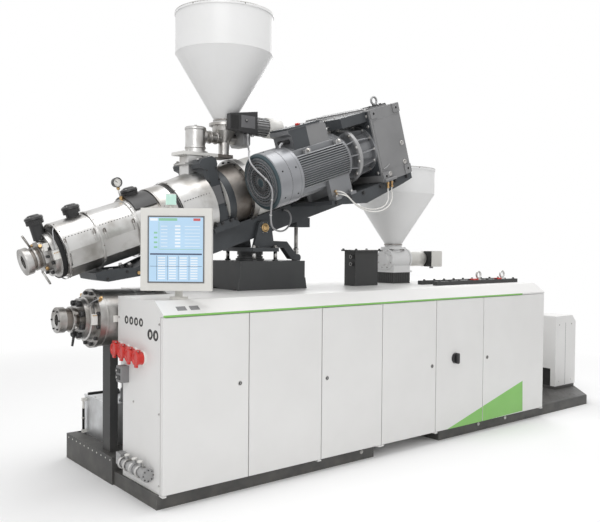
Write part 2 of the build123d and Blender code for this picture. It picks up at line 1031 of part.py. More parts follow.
side_plate_y = beam_half_width + side_plate_gap
plate_outer_y = side_plate_y + side_plate_thickness
with BuildPart() as trunnion:
    block(
        (pivot.X - 140, pivot.X + 110),
        (-side_plate_y - 70, side_plate_y + 70),
        (foot_plate_low, foot_plate_top),
    )
    cheek = [
        (pivot.X - 108, foot_plate_top),
        (pivot.X + 94, foot_plate_top),
        (pivot.X + 62, pivot.Z + 34),
        (pivot.X + 40, pivot.Z + 52),
        (pivot.X - 34, pivot.Z + 52),
        (pivot.X - 56, pivot.Z + 34),
    ]
    for y in (-plate_outer_y, side_plate_y):
        plate(front, cheek, y, y + side_plate_thickness)
    rod(
        (pivot.X, -plate_outer_y, pivot.Z),
        (0, 1, 0),
        pivot_radius + pin_clearance,
        2 * plate_outer_y,
        mode=Mode.SUBTRACT,
    )

with BuildPart() as lift_unit:
    for x in (pivot.X - 112, pivot.X + 96):
        for y in (-side_plate_y - 40, side_plate_y + 40):
            rod((x, y, pedestal_top), (0, 0, 1), column_radius, lift_height)
            rod((x, y, pedestal_top), (0, 0, 1), column_radius + 9, 12)
    turned(
        Plane(origin=(pivot.X - 20, 0, pedestal_top), x_dir=(0, 0, 1), z_dir=(0, -1, 0)),
        [
            (0, 0),
            (0, slewing_radius + 12),
            (0.22 * lift_height, slewing_radius + 12),
            (0.28 * lift_height, slewing_radius),
            (0.48 * lift_height, slewing_radius),
            (0.52 * lift_height, slewing_radius - 10),
            (0.60 * lift_height, slewing_radius - 10),
            (0.64 * lift_height, slewing_radius),
            (lift_height, slewing_radius),
            (lift_height, 0),
        ],
    )

arm_sides = (arm_y - arm_width / 2, arm_y + arm_width / 2)
spindle_x = pivot.X + arm_reach
knuckle_z = foot_plate_low - knuckle_drop
with BuildPart() as adjusting_arm:
    with BuildSketch(front.offset(-arm_sides[0])) as arm_outline:
        with BuildLine():
            Polyline(
                (pivot.X + 60, foot_plate_top),
                (pivot.X + 60, foot_plate_top + 58),
                (pivot.X + 285, foot_plate_top + 52),
                (spindle_x - 10, knuckle_z + 0.6 * knuckle_radius),
                (spindle_x - 10, knuckle_z - 0.6 * knuckle_radius),
                (spindle_x - 70, knuckle_z - 0.4 * knuckle_radius),
                (pivot.X + 252, foot_plate_top),
                close=True,
            )
        make_face()
        fillet(arm_outline.vertices().group_by(Axis.X)[1:-1], 14)
        with Locations((spindle_x, knuckle_z)):
            Circle(knuckle_radius)
    extrude(arm_outline.sketch, amount=-arm_width)
    rod(
        (spindle_x, arm_y, knuckle_z - knuckle_radius),
        (0, 0, 1),
        spindle_radius,
        spindle_length,
        mode=Mode.SUBTRACT,
    )

with BuildPart() as spindle:
    rod((spindle_x, arm_y, knuckle_z - knuckle_radius), (0, 0, 1), spindle_radius, spindle_length)
    for z in (knuckle_z + knuckle_radius + 6, knuckle_z + knuckle_radius + 30):
        with BuildSketch(Plane.XY.offset(z)) as nut:
            with Locations((spindle_x, arm_y)):
                RegularPolygon(spindle_radius + 9, 6)
        extrude(nut.sketch, amount=18)

# Hoppers
with BuildPart() as hopper_lower:
    hopper_shell(hopper2_x, hopper2_neck_z - hopper_neck_length, hopper2_cone_height, hopper2_cylinder)

with BuildPart() as hopper_upper:
    hopper_shell(hopper1_x, hopper1_neck_z, hopper1_cone_height, hopper1_cylinder)

# Feeder of the lower extruder: round body on a base, with its geared motor
lower_feed_axis = Plane(origin=(0, 0, feeder2_z), x_dir=(1, 0, 0), z_dir=(0, -1, 0))
with BuildPart() as feeder_lower:
    turned(
        lower_feed_axis,
        [
            (feeder2_x[0] - 26, 0),
            (feeder2_x[0] - 26, 56),
            (feeder2_x[0], 62),
            (feeder2_x[0], feeder2_radius),
            (feeder2_x[0] + 14, feeder2_radius),
            (feeder2_x[0] + 14, feeder2_radius - 12),
            (feeder2_x[0] + 40, feeder2_radius),
            (feeder2_x[1] - 40, feeder2_radius),
            (feeder2_x[1] - 14, feeder2_radius - 12),
            (feeder2_x[1] - 14, feeder2_radius),
            (feeder2_x[1], feeder2_radius),
            (feeder2_x[1], 0),
        ],
    )
    neck_base = hopper2_neck_z - hopper_neck_length
    rod((hopper2_x, 0, feeder2_z), (0, 0, 1), 78, neck_base - feeder2_z)
    flange_z = neck_base - feeder_flange_thickness
    rod((hopper2_x, 0, flange_z), (0, 0, 1), feeder_flange, feeder_flange_thickness)
    base_y = (-feeder2_base_half_width, feeder2_base_half_width)
    block((feeder2_x[0] + 10, feeder2_x[1] - 40), base_y, (roof_top, feeder2_z - 60))
    collar_y = (base_y[0] - 12, base_y[1] + 12)
    block((feeder2_x[0] - 4, feeder2_x[1] - 26), collar_y, (feeder2_z - 124, feeder2_z - 108))

with BuildPart() as feeder_motor_lower:
    gear_start = feeder2_x[1]
    turned(
        lower_feed_axis,
        [
            (gear_start, 0),
            (gear_start, 88),
            (gear_start + 16, 88),
            (gear_start + 16, 66),
            (gear_start + 110, 72),
            (gear_start + 110, 0),
        ],
    )
    small_motor(lower_feed_axis, gear_start + 110, 260, small_motor_radius - 5)
    block(
        (gear_start + 240, gear_start + 388),
        (-small_motor_radius - 66, -small_motor_radius + 34),
        (feeder2_z - inverter_height / 2, feeder2_z + inverter_height / 2),
    )

# Operator panel on its post
turn = Plane(
    origin=(post_x, post_y, 0),
    x_dir=(cos(radians(panel_turn)), sin(radians(panel_turn)), 0),
    z_dir=(0, 0, 1),
)
panel_centre_z = roof_top + panel_rise
with BuildPart() as panel_post:
    rod((post_x, post_y, roof_top), (0, 0, 1), post_foot_radius, post_foot_thickness)
    rod((post_x, post_y, roof_top + post_foot_thickness), (0, 0, 1), post_radius, post_height)

with BuildPart() as operator_panel:
    with BuildSketch(turn.offset(panel_centre_z - panel_height / 2)):
        with Locations((0, -panel_offset)):
            RectangleRounded(panel_width, panel_depth, panel_corner)
    extrude(amount=panel_height)
    with Locations(turn.offset(panel_centre_z)):
        with Locations((0, -panel_offset + panel_depth / 2, 0)):
            arm_block_depth = panel_offset - panel_depth / 2 + post_radius + 5
            Box(
                arm_block_width,
                arm_block_depth,
                arm_block_height,
                align=(Align.CENTER, Align.MIN, Align.CENTER),
            )
        Cylinder(post_radius + pin_clearance, 200, mode=Mode.SUBTRACT)
        with Locations((-lamp_offset, -panel_offset, panel_height / 2)):
            Cylinder(14, 26, align=(Align.CENTER, Align.CENTER, Align.MIN))
        with Locations((-lamp_offset, -panel_offset, panel_height / 2 + 20)):
            Cylinder(lamp_radius, 72, align=(Align.CENTER, Align.CENTER, Align.MIN))

with BuildPart() as panel_screen:
    with Locations(turn.offset(panel_centre_z)):
        with Locations((0, -panel_offset - panel_depth / 2, 0)):
            Box(
                screen_width,
                screen_thickness,
                screen_height,
                align=(Align.CENTER, Align.MAX, Align.CENTER),
            )

# Co-extruder beam: box girder with an open tray in front and a cradle behind
with BuildPart() as beam:
    plate(
        upper,
        [
            (700, -331),
            (1150, beam_low),
            (beam_end, beam_low),
            (beam_end, beam_top),
            (1150, beam_top),
            (700, -262),
            (470, -205),
            (tray_end, -205),
            (tray_end, -250),
            (tray_end + 74, -291),
        ],
        -beam_half_width,
        beam_half_width,
    )
    inside = beam_half_width - tray_wall_thickness
    plate(
        upper,
        [
            (tray_end + 90, -266),
            (tray_end + 90, -150),
            (900, -150),
            (900, -250),
            (700, -306),
        ],
        -inside,
        inside,
        mode=Mode.SUBTRACT,
    )
    plate(
        upper,
        [
            (cradle_start, -240),
            (2516, -324),
            (2960, -282),
            (cradle_end, -263),
            (cradle_end, beam_top + gearbox_seat),
            (cradle_start, beam_top + gearbox_seat),
        ],
        cradle_y[0],
        cradle_y[1],
    )
    rod(
        (pivot.X, -plate_outer_y - pin_overhang, pivot.Z),
        (0, 1, 0),
        pivot_radius,
        2 * (plate_outer_y + pin_overhang),
    )
    block(
        (spindle_x - 40, spindle_x + 100),
        (arm_sides[0] - 30, arm_sides[1] + 30),
        (pivot.Z + 13, pivot.Z + 93),
    )
    rod(feeder_cable_route[-1], (0, 1, 0), cable_diameter / 2 + 5, gland_length)
    rod(
        (spindle_x, arm_y, pivot.Z - 92),
        (0, 0, 1),
        spindle_radius + spindle_hole_gap,
        240,
        mode=Mode.SUBTRACT,
    )

# Barrel covers: two folded covers, a plain one, then the ring and the cone
with BuildPart() as barrel_covers:
    folded_cover(cover_start, cover_one_end, cover_radius)
    turned(
        upper,
        [
            (cover_one_end, 0),
            (cover_one_end, cover_two_radius),
            (cover_one_end + cover_band, cover_two_radius),
            (cover_one_end + cover_band, 0),
        ],
    )
    folded_cover(cover_one_end + cover_band, cover_two_end, cover_two_radius - 3)
    turned(
        upper,
        [
            (cover_two_end, 0),
            (cover_two_end, cover_two_radius + 6),
            (cover_two_end + cover_band, cover_two_radius + 6),
            (cover_two_end + cover_band, cover_three_radius),
            (cover_three_end, cover_three_radius),
            (cover_three_end, cover_four_radius),
            (ring_along, cover_four_radius + 5),
            (ring_along, cover_four_radius - 6),
            (ring_along + ring_gap, cover_four_radius - 6),
            (ring_along + ring_gap, cover_four_radius + 8),
            (cone_end, cone_radius),
            (cone_end, 0),
        ],
    )
    inner = cover_radius - cover_wall
    turned(
        upper,
        [
            (cover_start, die_disc_radius + 24),
            (cover_start, inner),
            (cover_start + mouth_depth, inner),
            (cover_start + mouth_depth, die_disc_radius + 24),
        ],
        mode=Mode.SUBTRACT,
    )
    under = -barrel_flat
    low_corner = -2 * cover_radius
    outline = [(400, low_corner), (400, under), (cone_end, under), (cone_end, low_corner)]
    plate(upper, outline, -2 * cover_radius, 2 * cover_radius, mode=Mode.SUBTRACT)

feed_low = beam_top
feed_start, feed_end = feed_block_along
with BuildPart() as feed_block:
    plate(
        upper,
        [
            (feed_start, feed_low),
            (feed_start, feed_block_top - 20),
            (feed_start - 24, feed_block_top),
            (feed_start - 24, feed_block_top + 30),
            (feed_start + 6, feed_cap_top),
            (feed_end - 24, feed_cap_top),
            (feed_end + 5, feed_cap_top - 30),
            (feed_end + 5, feed_block_top - 10),
            (feed_end, feed_block_top - 20),
            (feed_end, feed_low),
        ],
        -feed_block_half_width,
        feed_block_half_width,
    )
    long_edges = feed_block.edges().filter_by(GeomType.LINE)
    upright_corners = long_edges.filter_by(lambda e: e.length > 200).filter_by(
        lambda e: abs((e % 0.5).dot(outward)) > 0.99
    )
    chamfer(upright_corners, feed_corner)
    foot_half = feed_block_half_width + 20
    plate(
        upper,
        [
            (feed_foot_along[0], feed_low),
            (feed_foot_along[0], feed_low + 26),
            (feed_start - 12, feed_low + feed_foot_height),
            (feed_end + 12, feed_low + feed_foot_height),
            (feed_foot_along[1], feed_low + 26),
            (feed_foot_along[1], feed_low),
        ],
        -foot_half,
        foot_half,
    )
    add(barrel_covers.part, mode=Mode.SUBTRACT)

disc_front = cover_start - die_disc_offset
with BuildPart() as upper_die_head:
    turned(
        upper,
        [
            (cover_start, 0),
            (cover_start, die_disc_radius + 22),
            (cover_start - 30, die_disc_radius + 22),
            (cover_start - 36, die_disc_radius + 16),
            (cover_start - 36, die_disc_radius),
            (disc_front, die_disc_radius),
            (disc_front, 96),
            (disc_front - 18, 96),
            (disc_front - 26, 70),
            (die_ring_length, 70),
            (die_ring_length, die_ring_radius),
            (4, die_ring_radius),
            (0, die_ring_radius - 4),
            (0, die_bore + 8),
            (8, die_bore),
            (disc_front, die_bore),
            (disc_front, 0),
        ],
    )
    with BuildSketch(section_at(upper, disc_front - die_adapter_length)) as adapter:
        RegularPolygon(die_adapter_radius, 8, rotation=22.5)
        Circle(die_bore + 10, mode=Mode.SUBTRACT)
    extrude(adapter.sketch, amount=die_adapter_length)

with BuildPart() as cooling_blowers:
    for place, foot in zip(blower_along, blower_foot):
        stem = Plane(
            origin=upper.from_local_coords(Vector(place, 0, 0)),
            x_dir=outward,
            z_dir=(0, -1, 0),
        )
        turned(
            stem,
            [
                (foot, 0),
                (foot, blower_radius - 14),
                (blower_cap_low, blower_radius - 14),
                (blower_cap_low, blower_radius),
                (blower_cap_low + 30, blower_radius),
                (blower_cap_low + 36, blower_radius + 5),
                (blower_cap_low + 48, blower_radius + 2),
                (blower_cap_low + 56, blower_radius - 16),
                (blower_cap_low + 56, 0),
            ],
        )
    turned(
        upper,
        [
            (duct_along[0], cover_three_radius),
            (duct_along[0], duct_radius),
            (duct_along[1], duct_radius),
            (duct_along[1], cover_three_radius),
        ],
        start=-duct_sweep[0],
        arc=duct_sweep[0] + duct_sweep[1],
    )
    add(barrel_covers.part, mode=Mode.SUBTRACT)
    add(upper_die_head.part, mode=Mode.SUBTRACT)

with BuildPart() as drive_housing:
    seam = seam_depth
    outline = [
        (feed_end, 0),
        (feed_end, neck_radius),
        (flange_along[0], neck_radius),
        (flange_along[0], flange_radius),
        (flange_along[1], flange_radius),
        (flange_along[1], housing_radius),
    ]
    for place in seam_along:
        outline += [
            (place - 4, housing_radius),
            (place - 4, housing_radius - seam),
            (place + 4, housing_radius - seam),
            (place + 4, housing_radius),
        ]
    outline += [(housing_end, housing_radius), (housing_end, 0)]
    turned(upper, outline)
    seat = beam_top + gearbox_seat
    low_corner = -2 * housing_radius
    cut = [(feed_end - 10, low_corner), (feed_end - 10, seat), (housing_end + 10, seat), (housing_end + 10, low_corner)]
    plate(upper, cut, low_corner, -low_corner, mode=Mode.SUBTRACT)
    add(feed_block.part, mode=Mode.SUBTRACT)

gearbox_end = housing_end + gearbox_length
gearbox_low = beam_top + gearbox_seat
with BuildPart() as gearbox:
    plate(
        upper,
        [
            (housing_end, gearbox_low),
            (housing_end, gearbox_top),
            (gearbox_end, gearbox_top),
            (gearbox_end, gearbox_low),
        ],
        gearbox_y[0],
        gearbox_y[1],
    )
    chamfer(gearbox.edges().filter_by(Axis.Y), gearbox_chamfer)
    pads = [
        (along, out)
        for along in (housing_end + gearbox_pad / 2 + 6, gearbox_end - gearbox_pad / 2)
        for out in (gearbox_low + gearbox_pad / 2 + 6, gearbox_top - gearbox_pad / 2)
    ]
    with BuildSketch(upper.offset(-gearbox_y[0])) as corner_pads:
        with Locations(*pads):
            RectangleRounded(gearbox_pad, gearbox_pad, 8)
        with Locations(*pads):
            Circle(pad_hole, mode=Mode.SUBTRACT)
    extrude(corner_pads.sketch, amount=pad_height)
    with BuildSketch(upper.offset(-gearbox_y[0])) as front_plate:
        middle = ((housing_end + gearbox_end) / 2, (gearbox_low + gearbox_top) / 2)
        with Locations(middle):
            RectangleRounded(gearbox_length - 40, gearbox_top - gearbox_low - 2 * gearbox_pad - 40, 10)
    extrude(front_plate.sketch, amount=pad_height / 3)
    with Locations(section_at(upper, housing_end + 8)):
        with Locations((oil_pipe_y, gearbox_low + 10)):
            Cylinder(oil_pipe_radius, 130, align=(Align.CENTER, Align.CENTER, Align.MIN))
    for route in (hose_one_route, hose_two_route):
        rod(route[0], (0, 0, 1), fitting_radius, fitting_length)
    top_plate = [
        (housing_end + 60, gearbox_top),
        (housing_end + 60, gearbox_top + 12),
        (gearbox_end - 90, gearbox_top + 12),
        (gearbox_end - 90, gearbox_top),
    ]
    plate(upper, top_plate, gearbox_y[0] + 40, gearbox_y[1] - 60)
    eye_foot = Vector(gearbox_end - 150, gearbox_top + 12, -gearbox_y[0] - 110)
    with Locations(Plane(origin=upper.from_local_coords(eye_foot), z_dir=outward)):
        Cylinder(24, 14, align=(Align.CENTER, Align.CENTER, Align.MIN))
    eye_centre = eye_foot + Vector(0, 14 + gearbox_eye_radius, 0)
    with Locations(Plane(origin=upper.from_local_coords(eye_centre), x_dir=lengthwise, z_dir=(0, -1, 0))):
        Torus(gearbox_eye_radius, 8)

# Main motor: finned body, terminal box, flange and ribbed bell housing
body_start = shroud_along[1]
fin_tip = motor_core_radius + fin_height
flange_end = flange_start + flange_thickness
flange_outer = motor_radius + 10
with BuildPart() as main_motor:
    with BuildSketch(section_at(motor, body_start)) as fins:
        with GridLocations(0, fin_pitch, 1, fin_count):
            Rectangle(2 * fin_tip, fin_thickness)
        with GridLocations(fin_pitch, 0, fin_count, 1):
            Rectangle(fin_thickness, 2 * fin_tip)
        Circle(fin_tip, mode=Mode.INTERSECT)
        Circle(motor_core_radius)
    extrude(fins.sketch, amount=motor_body_end - body_start)
    turned(
        motor,
        [
            (motor_body_end, 0),
            (motor_body_end, motor_core_radius + 18),
            (motor_body_end + 22, motor_core_radius + 18),
            (motor_body_end + 30, motor_core_radius - 20),
            (flange_start, motor_core_radius - 20),
            (flange_start, flange_outer),
            (flange_end, flange_outer),
            (flange_end, bell_radius - 18),
            (housing_end - 16, bell_radius + 6),
            (housing_end - 16, bell_radius + 44),
            (housing_end, bell_radius + 44),
            (housing_end, 0),
        ],
    )
    ribs_around(
        motor,
        [
            (flange_end, 100),
            (flange_end, flange_outer - 14),
            (housing_end - 16, bell_radius + 38),
            (housing_end - 16, 100),
        ],
        bell_ribs,
        rib_thickness,
    )
    ribs_around(
        motor,
        [
            (motor_body_end + 10, 100),
            (motor_body_end + 10, motor_core_radius + 16),
            (flange_start, flange_outer - 10),
            (flange_start, 100),
        ],
        bell_ribs,
        rib_thickness,
    )
    box_start, box_end = terminal_along
    plate(
        motor,
        [
            (box_start, motor_core_radius - 20),
            (box_start, terminal_top - 60),
            (box_start - 26, terminal_top - 40),
            (box_start - 26, terminal_top - 12),
            (box_end - 20, terminal_top - 12),
            (box_end, terminal_top - 40),
            (box_end, motor_core_radius - 20),
        ],
        -terminal_half_width,
        terminal_half_width,
    )
    lid = [
        (box_start - 10, terminal_top - 12),
        (box_start - 10, terminal_top),
        (box_end - 60, terminal_top),
        (box_end - 60, terminal_top - 12),
    ]
    plate(motor, lid, -terminal_half_width - 8, terminal_half_width + 8)
    foot_low = beam_top + gearbox_seat - motor_out
    for offset in (-motor_foot_spread, motor_foot_spread - motor_foot_width):
        foot = [
            (cradle_start + 30, foot_low),
            (cradle_start + 30, -motor_core_radius + 60),
            (motor_body_end - 10, -motor_core_radius + 60),
            (motor_body_end - 10, foot_low),
        ]
        plate(motor, foot, offset, offset + motor_foot_width)

with BuildPart() as fan_cover:
    front_face, back_face = shroud_along
    turned(
        motor,
        [
            (front_face, 0),
            (front_face - 8, 0.55 * motor_radius),
            (front_face, motor_radius - 20),
            (front_face + 20, motor_radius),
            (shroud_seam - 3, motor_radius),
            (shroud_seam, motor_radius - 3),
            (shroud_seam + 3, motor_radius),
            (back_face, motor_radius),
            (back_face, 0),
        ],
    )
    pitch = grille_slot + grille_rib
    for i in range(grille_rings):
        near = grille_hub + pitch * i
        groove = [
            (front_face - 20, near),
            (front_face - 20, near + grille_slot),
            (front_face + grille_depth, near + grille_slot),
            (front_face + grille_depth, near),
        ]
        turned(motor, groove, mode=Mode.SUBTRACT)
    spoke = [
        (front_face + grille_depth, grille_hub - 4),
        (front_face - 4, grille_hub - 4),
        (front_face - 4, grille_hub + pitch * grille_rings),
        (front_face + grille_depth, grille_hub + pitch * grille_rings),
    ]
    ribs_around(motor, spoke, grille_spokes, grille_slot)

# Feed chute from the upper feeder into the co-extruder, and the feeder itself
with BuildPart() as feed_chute:
    chute_y = (-chute_half_width, chute_half_width)
    block(chute_x, chute_y, (chute_plate_z - chute_depth, chute_plate_z))
    collar = (chute_x[0] - 40, chute_x[1] + 20)
    block(collar, (chute_y[0] - 18, chute_y[1] + 18), (chute_plate_z - 72, chute_plate_z - 60))
    add(barrel_covers.part, mode=Mode.SUBTRACT)
    add(feed_block.part, mode=Mode.SUBTRACT)

hopper1_axis = Plane(origin=(hopper1_x, 0, feeder_plate_top), x_dir=(0, 0, 1), z_dir=(0, -1, 0))
with BuildPart() as feeder_upper:
    block(
        chute_plate_x,
        (-chute_half_width - 22, chute_half_width + 22),
        (chute_plate_z, feeder_plate_top),
    )
    turned(
        Plane(origin=(drop_x, 0, feeder_plate_top), x_dir=(0, 0, 1), z_dir=(0, -1, 0)),
        [
            (0, 0),
            (0, drop_radius + 18),
            (10, drop_radius + 18),
            (10, drop_radius),
            (drop_height - 14, drop_radius),
            (drop_height - 14, drop_radius + 5),
            (drop_height - 4, drop_radius + 5),
            (drop_height, drop_radius),
            (drop_height, 0),
        ],
    )
    screw_axis = Plane(origin=(0, 0, screw_z), x_dir=(1, 0, 0), z_dir=(0, -1, 0))
    turned(
        screw_axis,
        [
            (drop_x, 0),
            (drop_x, screw_radius + 18),
            (drop_x + drop_radius - 4, screw_radius + 16),
            (drop_x + drop_radius + 26, screw_radius),
            (gear_x[0], screw_radius),
            (gear_x[0], 0),
        ],
    )
    reach = hopper1_neck_z - feeder_plate_top
    turned(
        hopper1_axis,
        [
            (0, 0),
            (0, meter_radius),
            (reach - 150, meter_radius),
            (reach - 60, 92),
            (reach - feeder_flange_thickness, 96),
            (reach - feeder_flange_thickness, feeder_flange),
            (reach, feeder_flange),
            (reach, 0),
        ],
    )

feeder_motor_axis = Plane(
    origin=(0, feeder_motor_y, screw_z + feeder_motor_rise),
    x_dir=(1, 0, 0),
    z_dir=(0, -1, 0),
)
with BuildPart() as feeder_motor_upper:
    gear_y = (feeder_motor_y - 62, feeder_motor_y + 120)
    gear_neck_z = hopper1_neck_z - feeder_flange_thickness - 20
    block(gear_x, gear_y, (screw_z - 62, gear_neck_z))
    block((gear_x[0] + 28, gear_x[1]), gear_y, (gear_neck_z, screw_z + feeder_motor_rise + 84))
    outer_edges = feeder_motor_upper.edges().filter_by(Axis.X).group_by(Axis.Z)
    chamfer(outer_edges[0] + outer_edges[-1], 22)
    small_motor(feeder_motor_axis, gear_x[1], feeder_motor_length, small_motor_radius)
    bottom = screw_z + feeder_motor_rise - inverter_height / 2
    plate(
        front,
        [
            (inverter_x[0], bottom + 12),
            (inverter_x[0], bottom + inverter_height - 16),
            (inverter_x[1], bottom + inverter_height + 22),
            (inverter_x[1], bottom - 12),
        ],
        inverter_back - inverter_depth,
        inverter_back,
    )
    rod(feeder_cable_route[0], (0, 0, 1), cable_diameter / 2 + 5, gland_length + 10)

# Cable from the upper feeder to the beam, and the gearbox's two oil hoses
cords = {}
routes = {
    "feeder_cable": (feeder_cable_route, cable_diameter),
    "oil_hose_1": (hose_one_route, hose_diameter),
    "oil_hose_2": (hose_two_route, hose_diameter),
}
for name, (route, diameter) in routes.items():
    with BuildPart() as cord_part:
        length = cord(route, diameter)
    expected = length * pi * diameter**2 / 4
    print(name, "volume share", round(cord_part.part.volume / expected, 4))
    cords[name] = cord_part

# Each piece goes to its own file
pieces = {
    "front_plinth": front_plinth,
    "rear_plinth": rear_plinth,
    "tread_grating": tread_grating,
    "machine_housing": machine_housing,
    "roof_cover": roof_cover,
    "green_stripe": green_stripe,
    "end_panel": end_panel,
    "main_switch": main_switch,
    "roof_rails": roof_rails,
    "lifting_eyes": lifting_eyes,
    "rear_cover": rear_cover,
    "lower_barrel": lower_barrel,
    "lower_die_head": lower_die_head,
    "barrel_support": barrel_support,
    "tank_base": tank_base,
    "oil_tank": oil_tank,
    "sight_tube": sight_tube,
    "ball_valve": ball_valve,
    "valve_lever": valve_lever,
    "tank_pump": tank_pump,
    "power_sockets": power_sockets,
    "socket_lids": socket_lids,
    "cable_connector": cable_connector,
    "valve_block": valve_block,
    "pedestal": pedestal,
    "trunnion": trunnion,
    "lift_unit": lift_unit,
    "adjusting_arm": adjusting_arm,
    "spindle": spindle,
    "rear_stand": rear_stand,
    "hopper_lower": hopper_lower,
    "feeder_lower": feeder_lower,
    "feeder_motor_lower": feeder_motor_lower,
    "panel_post": panel_post,
    "operator_panel": operator_panel,
    "panel_screen": panel_screen,
    "beam": beam,
    "feed_block": feed_block,
    "barrel_covers": barrel_covers,
    "upper_die_head": upper_die_head,
    "cooling_blowers": cooling_blowers,
    "drive_housing": drive_housing,
    "gearbox": gearbox,
    "main_motor": main_motor,
    "fan_cover": fan_cover,
    "feed_chute": feed_chute,
    "hopper_upper": hopper_upper,
    "feeder_upper": feeder_upper,
    "feeder_motor_upper": feeder_motor_upper,
}
pieces.update(cords)
for number, door in enumerate(doors, start=1):
    pieces[f"door_{number}"] = door

for name, piece in pieces.items():
    piece.part.label = name
    export_step(piece.part, f"parts/{name}.step")
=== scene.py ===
"""Studio scene of a plastic extruder with a co-extruder on top.

All lengths are in metres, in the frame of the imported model: X runs from the
die end to the gear end, Y from front to back, and Z up from the floor.
"""

import logging
from dataclasses import dataclass
from enum import Enum
from itertools import product
from math import cos, pi, radians, sin

import bmesh
import bpy
from mathutils import Matrix, Vector


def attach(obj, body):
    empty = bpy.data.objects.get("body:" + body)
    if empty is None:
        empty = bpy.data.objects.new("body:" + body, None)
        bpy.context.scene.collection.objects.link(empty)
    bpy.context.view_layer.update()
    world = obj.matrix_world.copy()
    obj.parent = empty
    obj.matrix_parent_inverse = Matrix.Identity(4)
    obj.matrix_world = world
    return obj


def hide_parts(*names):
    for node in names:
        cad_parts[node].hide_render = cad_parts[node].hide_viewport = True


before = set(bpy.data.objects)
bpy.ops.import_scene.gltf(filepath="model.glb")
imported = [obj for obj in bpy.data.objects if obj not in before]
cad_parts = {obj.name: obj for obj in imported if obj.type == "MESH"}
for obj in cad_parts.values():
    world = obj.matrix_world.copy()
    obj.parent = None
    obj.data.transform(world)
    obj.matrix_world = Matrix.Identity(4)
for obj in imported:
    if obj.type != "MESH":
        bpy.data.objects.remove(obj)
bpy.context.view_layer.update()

logging.basicConfig(level=logging.INFO, format="%(message)s")
log = logging.getLogger("scene")

Colour = tuple[float, float, float]
Point = tuple[float, float, float]
Pair = tuple[float, float]
Socket = bpy.types.NodeSocket


class Finish(Enum):
    """Surface finishes, one material each."""

    CABINET = "cabinet_white"
    HOPPER = "hopper_white"
    CREAM = "cream_paint"
    PLINTH = "plinth_grey"
    CAST = "cast_grey"
    PEDESTAL = "pedestal_grey"
    MOTOR = "motor_grey"
    GEARBOX = "gearbox_grey"
    SHEET = "sheet_steel"
    MACHINED = "machined_steel"
    BURNT = "burnt_steel"
    TANK = "tank_steel"
    BLACK = "black_plastic"
    RUBBER = "black_rubber"
    # near-black: painted shade in holes, slots, recesses and gaps, and the colour of dark seams
    DARK = "dark_gap"
    BRASS = "brass"
    RED = "red_plastic"
    GREEN = "green_paint"
    CHEQUER = "chequer_plate"
    LAMP = "signal_lamp"
    SCREEN = "screen_blue"
    SCREEN_WHITE = "screen_white"
    SCREEN_GREEN = "screen_green"
    SCREEN_RED = "screen_red"
    SCREEN_INK = "screen_ink"
    CABLE = "grey_cable"
    SILVER = "silver_paint"
    TERMINAL = "terminal_grey"
    TEAL = "teal_rim"
    CERAMIC = "white_ceramic"
    CASTING = "light_casting"


class Graph:
    """A node tree with short calls for adding and joining nodes."""

    def __init__(self, tree: bpy.types.NodeTree) -> None:
        self.tree = tree

    def feed(self, socket: Socket, value: object) -> None:
        """Links a socket to another one, or sets its constant.

        Args:
            socket: The input socket.
            value: An output socket, a number, a vector or a colour.
        """
        if isinstance(value, Socket):
            self.tree.links.new(value, socket)
        else:
            socket.default_value = (*value, 1.0) if socket.type == "RGBA" else value

    def node(
        self, kind: str, inputs: dict[str | int, object] | None = None, **settings: object
    ) -> bpy.types.Node:
        """Adds a node, sets its properties and feeds its inputs.

        Args:
            kind: Blender's class name of the node.
            inputs: Sockets or constants by input name or place.
            settings: Properties to set on it.

        Returns:
            The new node.
        """
        made = self.tree.nodes.new(kind)
        for key, value in settings.items():
            setattr(made, key, value)
        for key, value in (inputs or {}).items():
            self.feed(made.inputs[key], value)
        return made

    def math(self, operation: str, first: object, second: object) -> Socket:
        """Adds a math node over sockets or numbers and returns its output."""
        return self.node("ShaderNodeMath", {0: first, 1: second}, operation=operation).outputs[0]

    def mix(self, factor: object, first: object, second: object) -> Socket:
        """Mixes two colours by a factor and returns the result."""
        return self.node("ShaderNodeMix", {0: factor, 6: first, 7: second}, data_type="RGBA").outputs[2]

    def span(self, value: Socket, low: float, high: float, start: float = 0.0, end: float = 1.0) -> Socket:
        """Maps a value from one range to another, clamped."""
        return self.node("ShaderNodeMapRange", {0: value, 1: low, 2: high, 3: start, 4: end}).outputs[0]

    def noise(self, scale: object, detail: object, place: Socket | None = None) -> Socket:
        """Adds a noise texture over object coordinates, or over given ones."""
        place = place or self.node("ShaderNodeTexCoord").outputs["Object"]
        return self.node("ShaderNodeTexNoise", {"Vector": place, "Scale": scale, "Detail": detail}).outputs[0]

    def bump(self, height: Socket, strength: Socket, distance: float) -> Socket:
        """Adds a bump over a height and returns its normal."""
        inputs = {"Height": height, "Strength": strength, "Distance": distance}
        return self.node("ShaderNodeBump", inputs).outputs[0]

    def split(self, vector: Socket) -> Socket:
        """Returns the Z part of a vector."""
        return self.node("ShaderNodeSeparateXYZ", {0: vector}).outputs[2]


